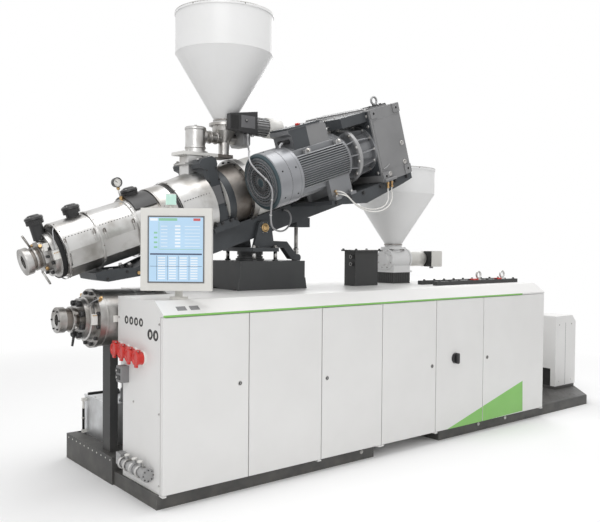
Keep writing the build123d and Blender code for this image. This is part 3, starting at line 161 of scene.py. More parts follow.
class Effects:
    """Shader node groups that several materials share."""

    def __init__(self) -> None:
        self.grain = self._grain()
        self.wear = self._wear()
        self.dust = self._dust()
        self.brush = self._brush()
        self.mottle = self._mottle()

    @staticmethod
    def _group(
        name: str, inputs: dict[str, float], outputs: tuple[str, ...]
    ) -> tuple[Graph, bpy.types.NodeOutputs, bpy.types.NodeInputs]:
        """Makes an empty group with named float inputs and typed outputs."""
        tree = bpy.data.node_groups.new(name, "ShaderNodeTree")
        for label, value in inputs.items():
            socket = tree.interface.new_socket(label, in_out="INPUT", socket_type="NodeSocketFloat")
            socket.default_value = value
        for label in outputs:
            kind = "NodeSocketVector" if label == "Normal" else "NodeSocketFloat"
            tree.interface.new_socket(label, in_out="OUTPUT", socket_type=kind)
        graph = Graph(tree)
        return graph, graph.node("NodeGroupInput").outputs, graph.node("NodeGroupOutput").inputs

    def _grain(self) -> bpy.types.NodeTree:
        """Fine bumps of paint or cast metal."""
        graph, given, result = self._group("surface_grain", {"Scale": 300.0, "Height": 0.1}, ("Normal",))
        graph.feed(result["Normal"], graph.bump(graph.noise(given["Scale"], 3.0), given["Height"], 0.0006))
        return graph.tree

    def _wear(self) -> bpy.types.NodeTree:
        """A mask of convex edges, broken up by noise."""
        graph, given, result = self._group("edge_wear", {"Radius": 0.004, "Amount": 0.5}, ("Mask",))
        rounded = graph.node("ShaderNodeBevel", {"Radius": given["Radius"]}, samples=4)
        flat = graph.node("ShaderNodeNewGeometry").outputs["Normal"]
        dot = graph.node("ShaderNodeVectorMath", {0: rounded.outputs[0], 1: flat}, operation="DOT_PRODUCT")
        edge = graph.span(dot.outputs["Value"], 0.98, 0.82)
        broken = graph.math("MULTIPLY", edge, graph.span(graph.noise(38.0, 5.0), 0.42, 0.62))
        graph.feed(result["Mask"], graph.math("MULTIPLY", broken, given["Amount"]))
        return graph.tree

    def _dust(self) -> bpy.types.NodeTree:
        """A mask of dust: on upward faces, and low near the floor."""
        graph, given, result = self._group("settled_dust", {"Top": 0.2, "Low": 0.2, "Reach": 0.35}, ("Mask",))
        spot = graph.node("ShaderNodeNewGeometry").outputs
        upward = graph.span(graph.split(spot["Normal"]), 0.6, 1.0)
        fall = graph.math("DIVIDE", graph.split(spot["Position"]), given["Reach"])
        top = graph.math("MULTIPLY", upward, given["Top"])
        low = graph.math("MULTIPLY", graph.span(fall, 1.0, 0.0), given["Low"])
        patch = graph.span(graph.noise(9.0, 6.0), 0.35, 0.7, 0.4, 1.0)
        graph.feed(result["Mask"], graph.math("MULTIPLY", graph.math("ADD", top, low), patch))
        return graph.tree

    def _brush(self) -> bpy.types.NodeTree:
        """Fine parallel lines of brushed steel, turned about Y by Tilt."""
        inputs = {"Tilt": 0.0, "Across": 900.0, "Along": 6.0, "Height": 0.08}
        graph, given, result = self._group("brushed_lines", inputs, ("Normal", "Value"))
        place = graph.node("ShaderNodeTexCoord").outputs["Object"]
        spin = {"Vector": place, "Angle": given["Tilt"]}
        turned = graph.node("ShaderNodeVectorRotate", spin, rotation_type="Y_AXIS").outputs[0]
        rates = {0: given["Across"], 1: given["Along"], 2: given["Along"]}
        scale = graph.node("ShaderNodeCombineXYZ", rates).outputs[0]
        stretch = graph.node("ShaderNodeVectorMath", {0: turned, 1: scale}, operation="MULTIPLY")
        noise = graph.noise(1.0, 2.0, stretch.outputs[0])
        graph.feed(result["Normal"], graph.bump(noise, given["Height"], 0.0004))
        graph.feed(result["Value"], noise)
        return graph.tree

    def _mottle(self) -> bpy.types.NodeTree:
        """Slow, uneven variation over a surface."""
        graph, given, result = self._group("slow_mottle", {"Scale": 4.0, "Detail": 6.0}, ("Value",))
        graph.feed(result["Value"], graph.span(graph.noise(given["Scale"], given["Detail"]), 0.3, 0.7))
        return graph.tree


@dataclass(frozen=True)
class Paint:
    """A painted, plastic or rubber surface."""

    colour: Colour
    second: Colour
    roughness: float = 0.42
    metallic: float = 0.0
    grain_scale: float = 420.0
    grain_height: float = 0.08
    wear: float = 0.15
    wear_colour: Colour = (0.35, 0.34, 0.33)
    dust_top: float = 0.05
    dust_low: float = 0.1
    dust_colour: Colour = (0.42, 0.40, 0.36)
    coat: float = 0.0
    mottle_scale: float = 3.0


@dataclass(frozen=True)
class Steel:
    """A bare metal surface with brush lines and slow stains."""

    colour: Colour
    stain: Colour
    roughness: float = 0.26
    spread: float = 0.16
    tilt: float = 0.0
    across: float = 900.0
    along: float = 6.0
    stain_low: float = 0.35
    height: float = 0.08
    stain_high: float = 0.8
    stain_scale: float = 5.0


@dataclass(frozen=True)
class Glow:
    """A lit surface, such as a display."""

    colour: Colour
    strength: float


TILT = radians(18)
LIGHT_WEAR = (0.5, 0.5, 0.5)

FINISHES: dict[Finish, Paint | Steel | Glow] = {
    Finish.CABINET: Paint(
        (0.78, 0.775, 0.765), (0.75, 0.745, 0.735), 0.40, wear=0.05, dust_low=0.12, dust_top=0.03,
    ),
    Finish.HOPPER: Paint((0.80, 0.80, 0.80), (0.76, 0.76, 0.755), 0.35, wear=0.05),
    Finish.CREAM: Paint((0.74, 0.73, 0.70), (0.69, 0.68, 0.64), 0.38, dust_top=0.08),
    Finish.PLINTH: Paint((0.030, 0.031, 0.032), (0.045, 0.045, 0.044), 0.55, wear=0.35, dust_low=0.2),
    Finish.CAST: Paint(
        (0.060, 0.066, 0.072), (0.043, 0.047, 0.052), 0.46, 0.15, 190.0, 0.35, 0.3, mottle_scale=5.0,
    ),
    Finish.PEDESTAL: Paint((0.052, 0.054, 0.055), (0.041, 0.043, 0.045), 0.50, 0.1, 260.0, 0.2, 0.3),
    Finish.MOTOR: Paint((0.25, 0.255, 0.265), (0.19, 0.195, 0.205), 0.36, 0.35, 260.0, 0.2, 0.4, LIGHT_WEAR),
    Finish.GEARBOX: Paint((0.255, 0.255, 0.258), (0.21, 0.21, 0.213), 0.5, 0.1, 160.0, 0.35, 0.35),
    Finish.SHEET: Steel((0.60, 0.595, 0.585), (0.30, 0.28, 0.255), 0.24, tilt=TILT),
    Finish.MACHINED: Steel((0.56, 0.555, 0.545), (0.24, 0.22, 0.20), 0.28, 0.2, 0.0, 600.0, 12.0),
    Finish.BURNT: Steel((0.30, 0.28, 0.26), (0.09, 0.07, 0.055), 0.38, 0.2, TILT, stain_low=0.2),
    Finish.TANK: Steel((0.60, 0.61, 0.62), (0.42, 0.42, 0.42), 0.30, 0.2, 0.0, 10.0, 500.0),
    Finish.BLACK: Paint((0.018, 0.018, 0.019), (0.028, 0.028, 0.029), 0.36, wear=0.1),
    Finish.RUBBER: Paint((0.022, 0.022, 0.022), (0.034, 0.033, 0.032), 0.68, grain_height=0.2, wear=0.0),
    # DARK is near-black: painted shade inside holes, slots, recesses and gaps between parts, and also the
    # colour of dark seams.
    Finish.DARK: Paint((0.006, 0.006, 0.007), (0.012, 0.012, 0.012), 0.8, wear=0.0),
    Finish.BRASS: Steel((0.62, 0.42, 0.20), (0.35, 0.22, 0.11), 0.30, 0.15, 0.0, 200.0, 200.0),
    Finish.RED: Paint((0.62, 0.022, 0.014), (0.52, 0.018, 0.012), 0.32, wear=0.1, coat=0.3),
    Finish.GREEN: Paint((0.24, 0.55, 0.13), (0.21, 0.50, 0.11), 0.38, wear=0.0),
    Finish.CHEQUER: Paint((0.10,) * 3, (0.07,) * 3, 0.45, 0.5, wear=0.5, wear_colour=LIGHT_WEAR),
    Finish.LAMP: Glow((0.62, 0.92, 0.80), 0.85),
    Finish.SCREEN: Glow((0.50, 0.72, 0.93), 0.95),
    Finish.SCREEN_WHITE: Glow((0.90, 0.95, 1.0), 0.95),
    Finish.SCREEN_GREEN: Glow((0.30, 0.66, 0.42), 0.85),
    Finish.SCREEN_RED: Glow((0.75, 0.12, 0.12), 0.8),
    Finish.SCREEN_INK: Glow((0.07, 0.10, 0.20), 0.7),
    Finish.CABLE: Paint((0.42, 0.42, 0.43), (0.34, 0.34, 0.35), 0.42, 0.3, wear=0.0),
    Finish.SILVER: Paint((0.30, 0.305, 0.32), (0.25, 0.255, 0.27), 0.30, 0.45, 300.0, 0.05, 0.2),
    Finish.TERMINAL: Paint((0.16, 0.16, 0.165), (0.12, 0.12, 0.125), 0.45, 0.1, 260.0, 0.15, 0.3),
    Finish.TEAL: Paint((0.060, 0.088, 0.100), (0.045, 0.066, 0.075), 0.35, 0.3, wear=0.1),
    Finish.CERAMIC: Paint((0.78, 0.77, 0.74), (0.70, 0.69, 0.66), 0.35, wear=0.0),
    Finish.CASTING: Paint((0.40, 0.40, 0.40), (0.30, 0.30, 0.305), 0.42, 0.4, 180.0, 0.3, 0.3),
}


class MaterialLibrary:
    """Builds one node material per finish and hands it out."""

    def __init__(self) -> None:
        self.effects = Effects()
        self.made: dict[Finish, bpy.types.Material] = {}

    def get(self, finish: Finish) -> bpy.types.Material:
        """Returns the material of a finish, built on first use."""
        if finish not in self.made:
            material = bpy.data.materials.new(finish.value)
            material.use_nodes = True
            graph = Graph(material.node_tree)
            spec = FINISHES[finish]
            wire = {Paint: self._paint, Steel: self._steel, Glow: self._glow}[type(spec)]
            for name, value in wire(graph, spec).items():
                graph.feed(material.node_tree.nodes["Principled BSDF"].inputs[name], value)
            self.made[finish] = material
        return self.made[finish]

    @staticmethod
    def _use(graph: Graph, tree: bpy.types.NodeTree, **values: float) -> bpy.types.NodeOutputs:
        """Adds a shared group to a material and returns its outputs."""
        return graph.node("ShaderNodeGroup", values, node_tree=tree).outputs

    def _paint(self, graph: Graph, spec: Paint) -> dict[str, object]:
        """Wires a paint: mottled colour, worn edges, dust and fine grain."""
        mottle = self._use(graph, self.effects.mottle, Scale=spec.mottle_scale)["Value"]
        wear = self._use(graph, self.effects.wear, Radius=0.005, Amount=spec.wear)["Mask"]
        dust = self._use(graph, self.effects.dust, Top=spec.dust_top, Low=spec.dust_low)["Mask"]
        grain = self._use(graph, self.effects.grain, Scale=spec.grain_scale, Height=spec.grain_height)
        worn = graph.mix(wear, graph.mix(mottle, spec.colour, spec.second), spec.wear_colour)
        return {
            "Base Color": graph.mix(dust, worn, spec.dust_colour),
            "Roughness": graph.span(mottle, 0.0, 1.0, spec.roughness - 0.04, spec.roughness + 0.06),
            "Normal": grain["Normal"],
            "Metallic": spec.metallic,
            "Coat Weight": spec.coat,
        }

    def _steel(self, graph: Graph, spec: Steel) -> dict[str, object]:
        """Wires a bare metal: brush lines, stains and uneven polish."""
        values = {"Tilt": spec.tilt, "Across": spec.across, "Along": spec.along, "Height": spec.height}
        brush = self._use(graph, self.effects.brush, **values)
        mottle = self._use(graph, self.effects.mottle, Scale=spec.stain_scale)["Value"]
        stain = graph.span(mottle, spec.stain_low, spec.stain_high, 0.0, 0.7)
        spread = graph.math("MULTIPLY", brush["Value"], spec.spread)
        return {
            "Base Color": graph.mix(stain, spec.colour, spec.stain),
            "Roughness": graph.math("ADD", spread, spec.roughness),
            "Normal": brush["Normal"],
            "Metallic": 1.0,
        }

    def _glow(self, graph: Graph, spec: Glow) -> dict[str, object]:
        """Wires a lit surface whose light varies a little over it."""
        mottle = self._use(graph, self.effects.mottle, Scale=7.0)["Value"]
        return {
            "Emission Color": graph.mix(mottle, spec.colour, tuple(0.93 * c for c in spec.colour)),
            "Emission Strength": spec.strength,
            "Base Color": (0.03, 0.03, 0.03),
            "Roughness": 0.25,
        }


@dataclass(frozen=True)
class Spot:
    """A local frame: an origin and three unit axes in the model's frame."""

    origin: Vector
    along: Vector
    up: Vector
    out: Vector

    def at(self, along: float, up: float, out: float = 0.0) -> Vector:
        """Returns the model point of local coordinates."""
        return self.origin + along * self.along + up * self.up + out * self.out

    def matrix(self) -> Matrix:
        """Returns the transform from this frame to the model's."""
        made = Matrix((self.along, self.up, self.out)).transposed().to_4x4()
        made.translation = self.origin
        return made


def frame_of(origin: Point, along: Point = (1, 0, 0), up: Point = (0, 0, 1)) -> Spot:
    """Makes a local frame from its origin and two of its axes."""
    first, second = Vector(along).normalized(), Vector(up).normalized()
    return Spot(Vector(origin), first, second, first.cross(second))


PANEL_TURN = radians(-39)
UPPER = frame_of((-0.573, 0.0, 1.527), (cos(TILT), 0.0, sin(TILT)), (-sin(TILT), 0.0, cos(TILT)))
LOWER = frame_of((0.0, 0.0, 1.137))
FRONT = frame_of((0.0, -0.850, 0.0))
END = frame_of((0.0, -0.850, 0.0), (0, -1, 0))
PLAN = frame_of((0.0, 0.0, 0.0), (1, 0, 0), (0, 1, 0))
PANEL = frame_of((0.232, -0.628, 1.624), (cos(PANEL_TURN), sin(PANEL_TURN), 0))
MOTOR = Spot(UPPER.at(0.0, 0.072, 0.482), UPPER.along, UPPER.up, UPPER.out)
ALONG, UP, OUT = (1, 0, 0), (0, 1, 0), (0, 0, 1)


@dataclass(frozen=True)
class CameraSize:
    """The camera that took the reference picture."""

    position: Point = (-2.165, -4.852, 1.674)
    yaw: float = radians(38.99)
    pitch: float = radians(1.43)
    roll: float = radians(0.50)
    lens: float = 43.8
    sensor: float = 36.0


@dataclass(frozen=True)
class LampSize:
    """An area lamp that points at a target."""

    name: str
    position: Point
    target: Point
    size: Pair
    power: float


@dataclass(frozen=True)
class StageSize:
    """The floor, its fade to white and the lamps."""

    floor_reach: float = 40.0
    floor_centre: Point = (2.0, 0.0, 0.0)
    floor_fade: Pair = (3.6, 6.5)
    fill_level: float = 0.62
    lamps: tuple[LampSize, ...] = (
        LampSize("key", (-3.5, -5.5, 5.0), (1.5, 0.0, 1.2), (4.0, 3.0), 130),
        LampSize("top", (2.0, -0.5, 7.0), (2.0, 0.0, 0.0), (8.0, 4.0), 260),
        LampSize("rim", (6.5, 4.0, 4.5), (2.0, 0.0, 1.5), (4.0, 3.0), 90),
    )


def linked(name: str, data: bpy.types.ID) -> bpy.types.Object:
    """Makes an object and links it into the scene."""
    made = bpy.data.objects.new(name, data)
    bpy.context.scene.collection.objects.link(made)
    return made


class Stage:
    """Camera, floor, world and lamps."""

    size = StageSize()

    def build(self) -> None:
        """Builds the whole stage."""
        self._camera(CameraSize())
        self._floor()
        self._world()
        for lamp in self.size.lamps:
            self._lamp(lamp)
        bpy.context.scene.view_settings.view_transform = "Standard"

    @staticmethod
    def _camera(size: CameraSize) -> None:
        """Places the camera as solved from the picture."""
        level = cos(size.pitch)
        forward = Vector((sin(size.yaw) * level, cos(size.yaw) * level, -sin(size.pitch)))
        right = Vector((cos(size.yaw), -sin(size.yaw), 0.0))
        up = right.cross(forward)
        right_rolled = cos(size.roll) * right + sin(size.roll) * up
        up_rolled = -sin(size.roll) * right + cos(size.roll) * up
        data = bpy.data.cameras.new("camera")
        data.lens = size.lens
        data.sensor_width = size.sensor
        data.clip_end = 100.0
        camera = linked("camera", data)
        camera.matrix_world = Spot(Vector(size.position), right_rolled, up_rolled, -forward).matrix()
        bpy.context.scene.camera = camera

    def _floor(self) -> None:
        """Builds a wide pale floor that keeps the shadow of the machine."""
        mesh = bpy.data.meshes.new("floor")
        reach = self.size.floor_reach
        corners = [(-reach, -reach, 0), (reach, -reach, 0), (reach, reach, 0), (-reach, reach, 0)]
        mesh.from_pydata(corners, [], [(0, 1, 2, 3)])
        material = bpy.data.materials.new("floor_white")
        material.use_nodes = True
        graph = Graph(material.node_tree)
        shader = material.node_tree.nodes["Principled BSDF"]
        look = {"Base Color": (0.93, 0.93, 0.93), "Roughness": 0.9, "Specular IOR Level": 0.1}
        for name, value in look.items():
            graph.feed(shader.inputs[name], value)
        spot = graph.node("ShaderNodeNewGeometry").outputs["Position"]
        ends = {0: spot, 1: self.size.floor_centre}
        reached = graph.node("ShaderNodeVectorMath", ends, operation="DISTANCE")
        far = graph.span(reached.outputs["Value"], *self.size.floor_fade)
        seen = graph.math("MULTIPLY", far, graph.node("ShaderNodeLightPath").outputs["Is Camera Ray"])
        blank = graph.node("ShaderNodeEmission")
        blend = graph.node("ShaderNodeMixShader", {0: seen, 1: shader.outputs[0], 2: blank.outputs[0]})
        graph.feed(material.node_tree.nodes["Material Output"].inputs["Surface"], blend.outputs[0])
        mesh.materials.append(material)
        floor = linked("floor", mesh)

    def _world(self) -> None:
        """Sets a white backdrop for the camera, metal and glass, and a plain fill light."""
        world = bpy.data.worlds.new("studio")
        bpy.context.scene.world = world
        world.use_nodes = True
        graph = Graph(world.node_tree)
        path = graph.node("ShaderNodeLightPath").outputs
        clear = graph.math("MAXIMUM", path["Is Camera Ray"], path["Is Glossy Ray"])
        clear = graph.math("MAXIMUM", clear, path["Is Transmission Ray"])
        shade = world.node_tree.nodes["Background"]
        graph.feed(shade.inputs["Color"], graph.mix(clear, (self.size.fill_level,) * 3, (1.0, 1.0, 1.0)))
        graph.feed(shade.inputs["Strength"], 1.0)

    @staticmethod
    def _lamp(spec: LampSize) -> None:
        """Adds a rectangular soft lamp."""
        data = bpy.data.lights.new(spec.name, "AREA")
        data.shape = "RECTANGLE"
        data.size, data.size_y = spec.size
        data.energy = spec.power
        lamp = linked(spec.name, data)
        lamp.location = spec.position
        lamp.rotation_mode = "QUATERNION"
        lamp.rotation_quaternion = (Vector(spec.position) - Vector(spec.target)).to_track_quat("Z", "Y")


def polar(radius: float, degrees: float) -> Pair:
    """Returns the two coordinates of a point on a circle."""
    return radius * cos(radians(degrees)), radius * sin(radians(degrees))


def circle(radius: float, height: float, sides: int) -> list[Vector]:
    """Returns the points of a circle about Z."""
    turns = (2 * pi * i / sides for i in range(sides))
    return [Vector((radius * cos(turn), radius * sin(turn), height)) for turn in turns]


class Mould:
    """Collects mesh parts with finishes into one piece of the scene.

    All points are (along, up, out) in the mould's local frame.
    """

    def __init__(self, name: str, body: str, library: MaterialLibrary, spot: Spot) -> None:
        self.name = name
        self.body = body
        self.library = library
        self.matrix = spot.matrix()
        self.mesh = bmesh.new()
        self.finishes: list[Finish] = []

    def _slot(self, finish: Finish) -> int:
        """Returns the material index of a finish, added on first use."""
        if finish not in self.finishes:
            self.finishes.append(finish)
        return self.finishes.index(finish)

    def _settle(
        self, made: list[bmesh.types.BMVert], finish: Finish, bevel: float = 0.0, smooth: bool = False
    ) -> None:
        """Rounds the edges of new vertices, and gives their faces a finish."""
        if bevel:
            edges = list({edge for vertex in made for edge in vertex.link_edges})
            made = bmesh.ops.bevel(
                self.mesh, geom=edges, offset=bevel, segments=2, affect="EDGES", profile=0.6,
                clamp_overlap=True,
            )["verts"]
        index = self._slot(finish)
        for face in {face for vertex in made for face in vertex.link_faces}:
            face.material_index = index
            face.smooth = smooth and len(face.verts) <= 4

    def _pointed(self, start: Vector, direction: Vector) -> Matrix:
        """Returns the model transform whose Z axis is a local direction."""
        turn = direction.to_track_quat("Z", "Y").to_matrix().to_4x4()
        turn.translation = start
        return self.matrix @ turn

    def _skin(self, finish: Finish, rings: list[list[Vector]]) -> None:
        """Joins rings of points with smooth faces."""
        index = self._slot(finish)
        rows = [[self.mesh.verts.new(point) for point in ring] for ring in rings]
        for first, second in zip(rows, rows[1:]):
            for i in range(len(first)):
                j = (i + 1) % len(first)
                face = self.mesh.faces.new((first[i], first[j], second[j], second[i]))
                face.material_index = index
                face.smooth = True

    def box(self, finish: Finish, low: Point, high: Point, bevel: float = 0.0) -> None:
        """Adds a box between two local corners, with rounded edges."""
        place = Matrix.Translation((Vector(low) + Vector(high)) / 2)
        stretch = Matrix.Diagonal((*(Vector(high) - Vector(low)), 1.0))
        made = bmesh.ops.create_cube(self.mesh, size=1.0, matrix=self.matrix @ place @ stretch)["verts"]
        self._settle(made, finish, bevel)

    def rod(
        self, finish: Finish, start: Point, end: Point, radius: float, tip: float | None = None,
        sides: int = 20,
    ) -> None:
        """Adds a round bar or cone between two local points."""
        span = Vector(end) - Vector(start)
        made = bmesh.ops.create_cone(
            self.mesh, cap_ends=True, segments=sides, radius1=radius, radius2=radius if tip is None else tip,
            depth=span.length, matrix=self._pointed((Vector(start) + Vector(end)) / 2, span),
        )["verts"]
        self._settle(made, finish, smooth=sides > 8)

    def spoke(
        self, finish: Finish, along: float, degrees: float, near: float, far: float, radius: float,
        tip: float | None = None, sides: int = 20,
    ) -> None:
        """Adds a rod that points away from the frame's first axis."""
        start, end = ((along, *polar(distance, degrees)) for distance in (near, far))
        self.rod(finish, start, end, radius, tip, sides)

    def turned(self, finish: Finish, origin: Point, axis: Point, profile: list[Pair], sides: int) -> None:
        """Adds a surface turned about an axis from (along, radius) points."""
        matrix = self._pointed(Vector(origin), Vector(axis))
        rings = [circle(radius, along, sides) for along, radius in profile]
        self._skin(finish, [[matrix @ point for point in ring] for ring in rings])

    def band(self, finish: Finish, start: float, end: float, radius: float, lift: float = 0.0015) -> None:
        """Adds a thin sleeve with rounded lips about the frame's first axis."""
        lip = min(0.002, (end - start) / 4)
        top, edge = radius + lift, radius + lift - 0.0006
        rising = [(start, radius), (start, edge), (start + lip, top)]
        falling = [(end - lip, top), (end, edge), (end, radius)]
        self.turned(finish, (0, 0, 0), ALONG, rising + falling, 72)

    def prism(self, finish: Finish, outline: list[Point], depth: Point, bevel: float = 0.0) -> None:
        """Adds a flat outline pushed out along a local vector."""
        near, far = (
            [self.mesh.verts.new(self.matrix @ (Vector(point) + Vector(shift))) for point in outline]
            for shift in ((0, 0, 0), depth)
        )
        self.mesh.faces.new(near[::-1])
        self.mesh.faces.new(far)
        for i in range(len(near)):
            j = (i + 1) % len(near)
            self.mesh.faces.new((near[i], near[j], far[j], far[i]))
        self._settle(near + far, finish, bevel)

    def wire(self, finish: Finish, points: list[Point], radius: float) -> None:
        """Adds a stiff wire through local points."""
        line = [self.matrix @ Vector(point) for point in points]
        rings = []
        for i, point in enumerate(line):
            turn = (line[min(i + 1, len(line) - 1)] - line[max(i - 1, 0)]).to_track_quat("Z", "Y")
            rings.append([point + turn @ corner for corner in circle(radius, 0.0, 8)])
        self._skin(finish, rings)

    def loop(
        self, finish: Finish, centre: Point, axis: Point, radius: float, bar: float, start: float = 0,
        sweep: float = 360,
    ) -> None:
        """Adds a ring or an arc of round bar."""
        turn = Vector(axis).to_track_quat("Z", "Y")
        steps = max(8, int(36 * sweep / 360))
        arc = [Vector((*polar(radius, start + sweep * i / steps), 0)) for i in range(steps + 1)]
        self.wire(finish, [Vector(centre) + turn @ point for point in arc], bar)

    def bolt(self, finish: Finish, at: Point, axis: Point, radius: float) -> None:
        """Adds a hexagon head on a washer."""
        spot, way = Vector(at), Vector(axis).normalized()
        self.rod(finish, spot - way * 0.001, spot + way * radius * 0.3, radius * 1.25)
        self.rod(finish, spot + way * radius * 0.3, spot + way * radius * 1.1, radius, radius * 0.94, 6)

    def screw(self, finish: Finish, at: Point, axis: Point, radius: float) -> None:
        """Adds a cap screw whose hexagon recess is filled with painted shade."""
        spot, way = Vector(at), Vector(axis).normalized()
        shape = ((0, 0), (0, 1), (1.3, 1), (1.5, 0.85), (1.5, 0.5), (0.9, 0.5), (0.9, 0))
        profile = [(radius * along, radius * wide) for along, wide in shape]
        self.turned(finish, spot - way * 0.001, way, profile, 18)
        # near-black prism: painted shade in the hexagon recess
        self.rod(Finish.DARK, spot + way * radius * 0.88, spot + way * radius * 0.95, radius * 0.49, sides=6)

    def bolt_circle(
        self, finish: Finish, along: float, way: float, reach: float, count: int, radius: float,
        start: float = 0, screws: bool = False,
    ) -> None:
        """Adds bolts or screws on a circle about the frame's first axis."""
        add = self.screw if screws else self.bolt
        for i in range(count):
            add(finish, (along, *polar(reach, start + 360 * i / count)), (way, 0, 0), radius)

    def finish(self) -> None:
        """Links the piece, gives it its materials and lets it ride."""
        bmesh.ops.recalc_face_normals(self.mesh, faces=self.mesh.faces)
        data = bpy.data.meshes.new(self.name)
        self.mesh.to_mesh(data)
        self.mesh.free()
        for finish in self.finishes:
            data.materials.append(self.library.get(finish))
        piece = linked(self.name, data)
        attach(piece, self.body)
        log.info("piece %s on %s: %d faces", self.name, self.body, len(data.polygons))


class Assembly:
    """A region of the machine that is dressed with modelled pieces."""

    def __init__(self, library: MaterialLibrary) -> None:
        self.library = library

    def mould(self, name: str, body: str, spot: Spot) -> Mould:
        """Starts a new piece."""
        return Mould(name, body, self.library, spot)


@dataclass(frozen=True)
class CabinetSize:
    """Places on the cabinet's front, slope, plinths and roof."""

    locks: tuple[tuple[int, float, float], ...] = (
        (1, 0.570, 0.738), (3, 1.338, 0.687), (4, 2.496, 0.659), (6, 3.238, 0.666),
    )
    wedges: tuple[tuple[int, tuple[Pair, ...]], ...] = (
        (5, ((2.700, 0.098), (3.178, 0.098), (3.178, 0.228))),
        (6, ((3.188, 0.098), (3.793, 0.107), (3.786, 0.391), (3.188, 0.231))),
    )
    switch: Pair = (2.793, 0.699)
    slope_plates: Pair = (0.150, 0.245)
    plinth_fittings: tuple[float, ...] = (1.740, 3.190, 3.590)
    rail_rows: Pair = (-0.525, -0.345)
    rail_bolts: tuple[float, ...] = tuple(2.96 + 0.14 * i for i in range(9))
    rail_top: float = 1.336
    boss_heights: Pair = (1.556, 1.492)
    stand_top: float = 1.616


class Cabinet(Assembly):
    """Locks, switch plate, green wedge, roof fittings and other small parts."""

    size = CabinetSize()

    def build(self) -> None:
        """Builds every dressing piece of the cabinet."""
        for number, x, z in self.size.locks:
            self._lock(number, x, z)
        for number, corners in self.size.wedges:
            wedge = self.mould(f"door_{number}_wedge", f"door_{number}_body", FRONT)
            wedge.prism(Finish.GREEN, [(x, z, 0.0) for x, z in corners], (0, 0, 0.0012))
            wedge.finish()
        self._switch()
        self._slope()
        self._plinths()
        self._rails()
        self._stand()

    def _lock(self, number: int, x: float, z: float) -> None:
        """A quarter-turn lock with a slot across its face."""
        mould = self.mould(f"door_{number}_lock", f"door_{number}_body", FRONT)
        rim = [(0, 0.017), (0.002, 0.017), (0.003, 0.015), (0.003, 0)]
        face = [(0.002, 0.012), (0.005, 0.012), (0.006, 0.009), (0.004, 0)]
        mould.turned(Finish.MACHINED, (x, z, 0), OUT, rim, 28)
        mould.turned(Finish.BLACK, (x, z, 0), OUT, face, 24)
        mould.box(Finish.MACHINED, (x - 0.002, z - 0.008, 0.004), (x + 0.002, z + 0.008, 0.006))
        mould.finish()

    def _switch(self) -> None:
        """Plate, rim and grip of the main switch."""
        x, z = self.size.switch
        plate = self.mould("main_switch_plate", "door_5_body", FRONT)
        plate.turned(Finish.TERMINAL, (x, z, 0.0002), OUT, [(0, 0.047), (0.002, 0.047), (0.003, 0.045)], 40)
        plate.finish()
        grip = self.mould("main_switch_grip", "switch_body", FRONT)
        rim = [(0, 0.041), (0.002, 0.039), (0.003, 0.034), (0.003, 0.028)]
        grip.turned(Finish.BLACK, (x, z, 0.0143), OUT, rim, 36)
        grip.rod(Finish.TERMINAL, (x, z + 0.030, 0.0385), (x, z + 0.030, 0.0398), 0.006, sides=16)
        grip.finish()

    def _slope(self) -> None:
        """Two plain plates on the slope near the die end."""
        mould = self.mould("slope_plates", "frame", frame_of((0.0, -0.850, 1.220), ALONG, (0, 0.112, 0.080)))
        for x in self.size.slope_plates:
            mould.box(Finish.GEARBOX, (x - 0.034, 0.035, -0.0005), (x + 0.034, 0.075, 0.0012), 0.0006)
            for dx in (-0.024, 0.024):
                mould.rod(Finish.DARK, (x + dx, 0.055, 0.001), (x + dx, 0.055, 0.0018), 0.002, sides=10)
        mould.finish()

    def _plinths(self) -> None:
        """Small round fittings on the plinths, with bright rims."""
        profile = [(0, 0.016), (0.004, 0.016), (0.006, 0.012), (0.003, 0.010), (0.003, 0)]
        for number, x in enumerate(self.size.plinth_fittings, start=1):
            mould = self.mould(f"plinth_fitting_{number}", "frame", frame_of((x, -0.800, 0.062)))
            mould.turned(Finish.MACHINED, (0, 0, 0), OUT, profile, 24)
            mould.finish()

    def _rails(self) -> None:
        """Bolts and two red caps along the roof rails."""
        top = self.size.rail_top
        rails = self.mould("roof_rail_bolts", "frame", PLAN)
        for y, x in product(self.size.rail_rows, self.size.rail_bolts):
            rails.bolt(Finish.BLACK, (x, y, top), OUT, 0.011)
        for start, end in ((3.42, 3.50), (3.80, 3.86)):
            rails.box(Finish.RED, (start, -0.548, top + 0.0002), (end, -0.502, top + 0.014), 0.003)
        rails.finish()

    def _stand(self) -> None:
        """Bosses, bolts and bright top plate of the dark stand."""
        top = self.size.stand_top
        boss = [(0, 0.019), (0.004, 0.019), (0.006, 0.013), (0.006, 0)]
        stand = self.mould("rear_stand_fittings", "frame", PLAN)
        for z in self.size.boss_heights:
            stand.turned(Finish.BLACK, (2.199, -0.170, z), (-1, 0, 0), boss, 28)
            stand.loop(Finish.MACHINED, (2.194, -0.170, z), ALONG, 0.014, 0.002)
        for x, y in product((2.210, 2.495), (-0.222, -0.058)):
            stand.bolt(Finish.BLACK, (x, y, top), OUT, 0.010)
        stand.box(Finish.MACHINED, (2.194, -0.2321, top - 0.0005), (2.511, -0.0475, top + 0.0006), 0.0005)
        stand.finish()


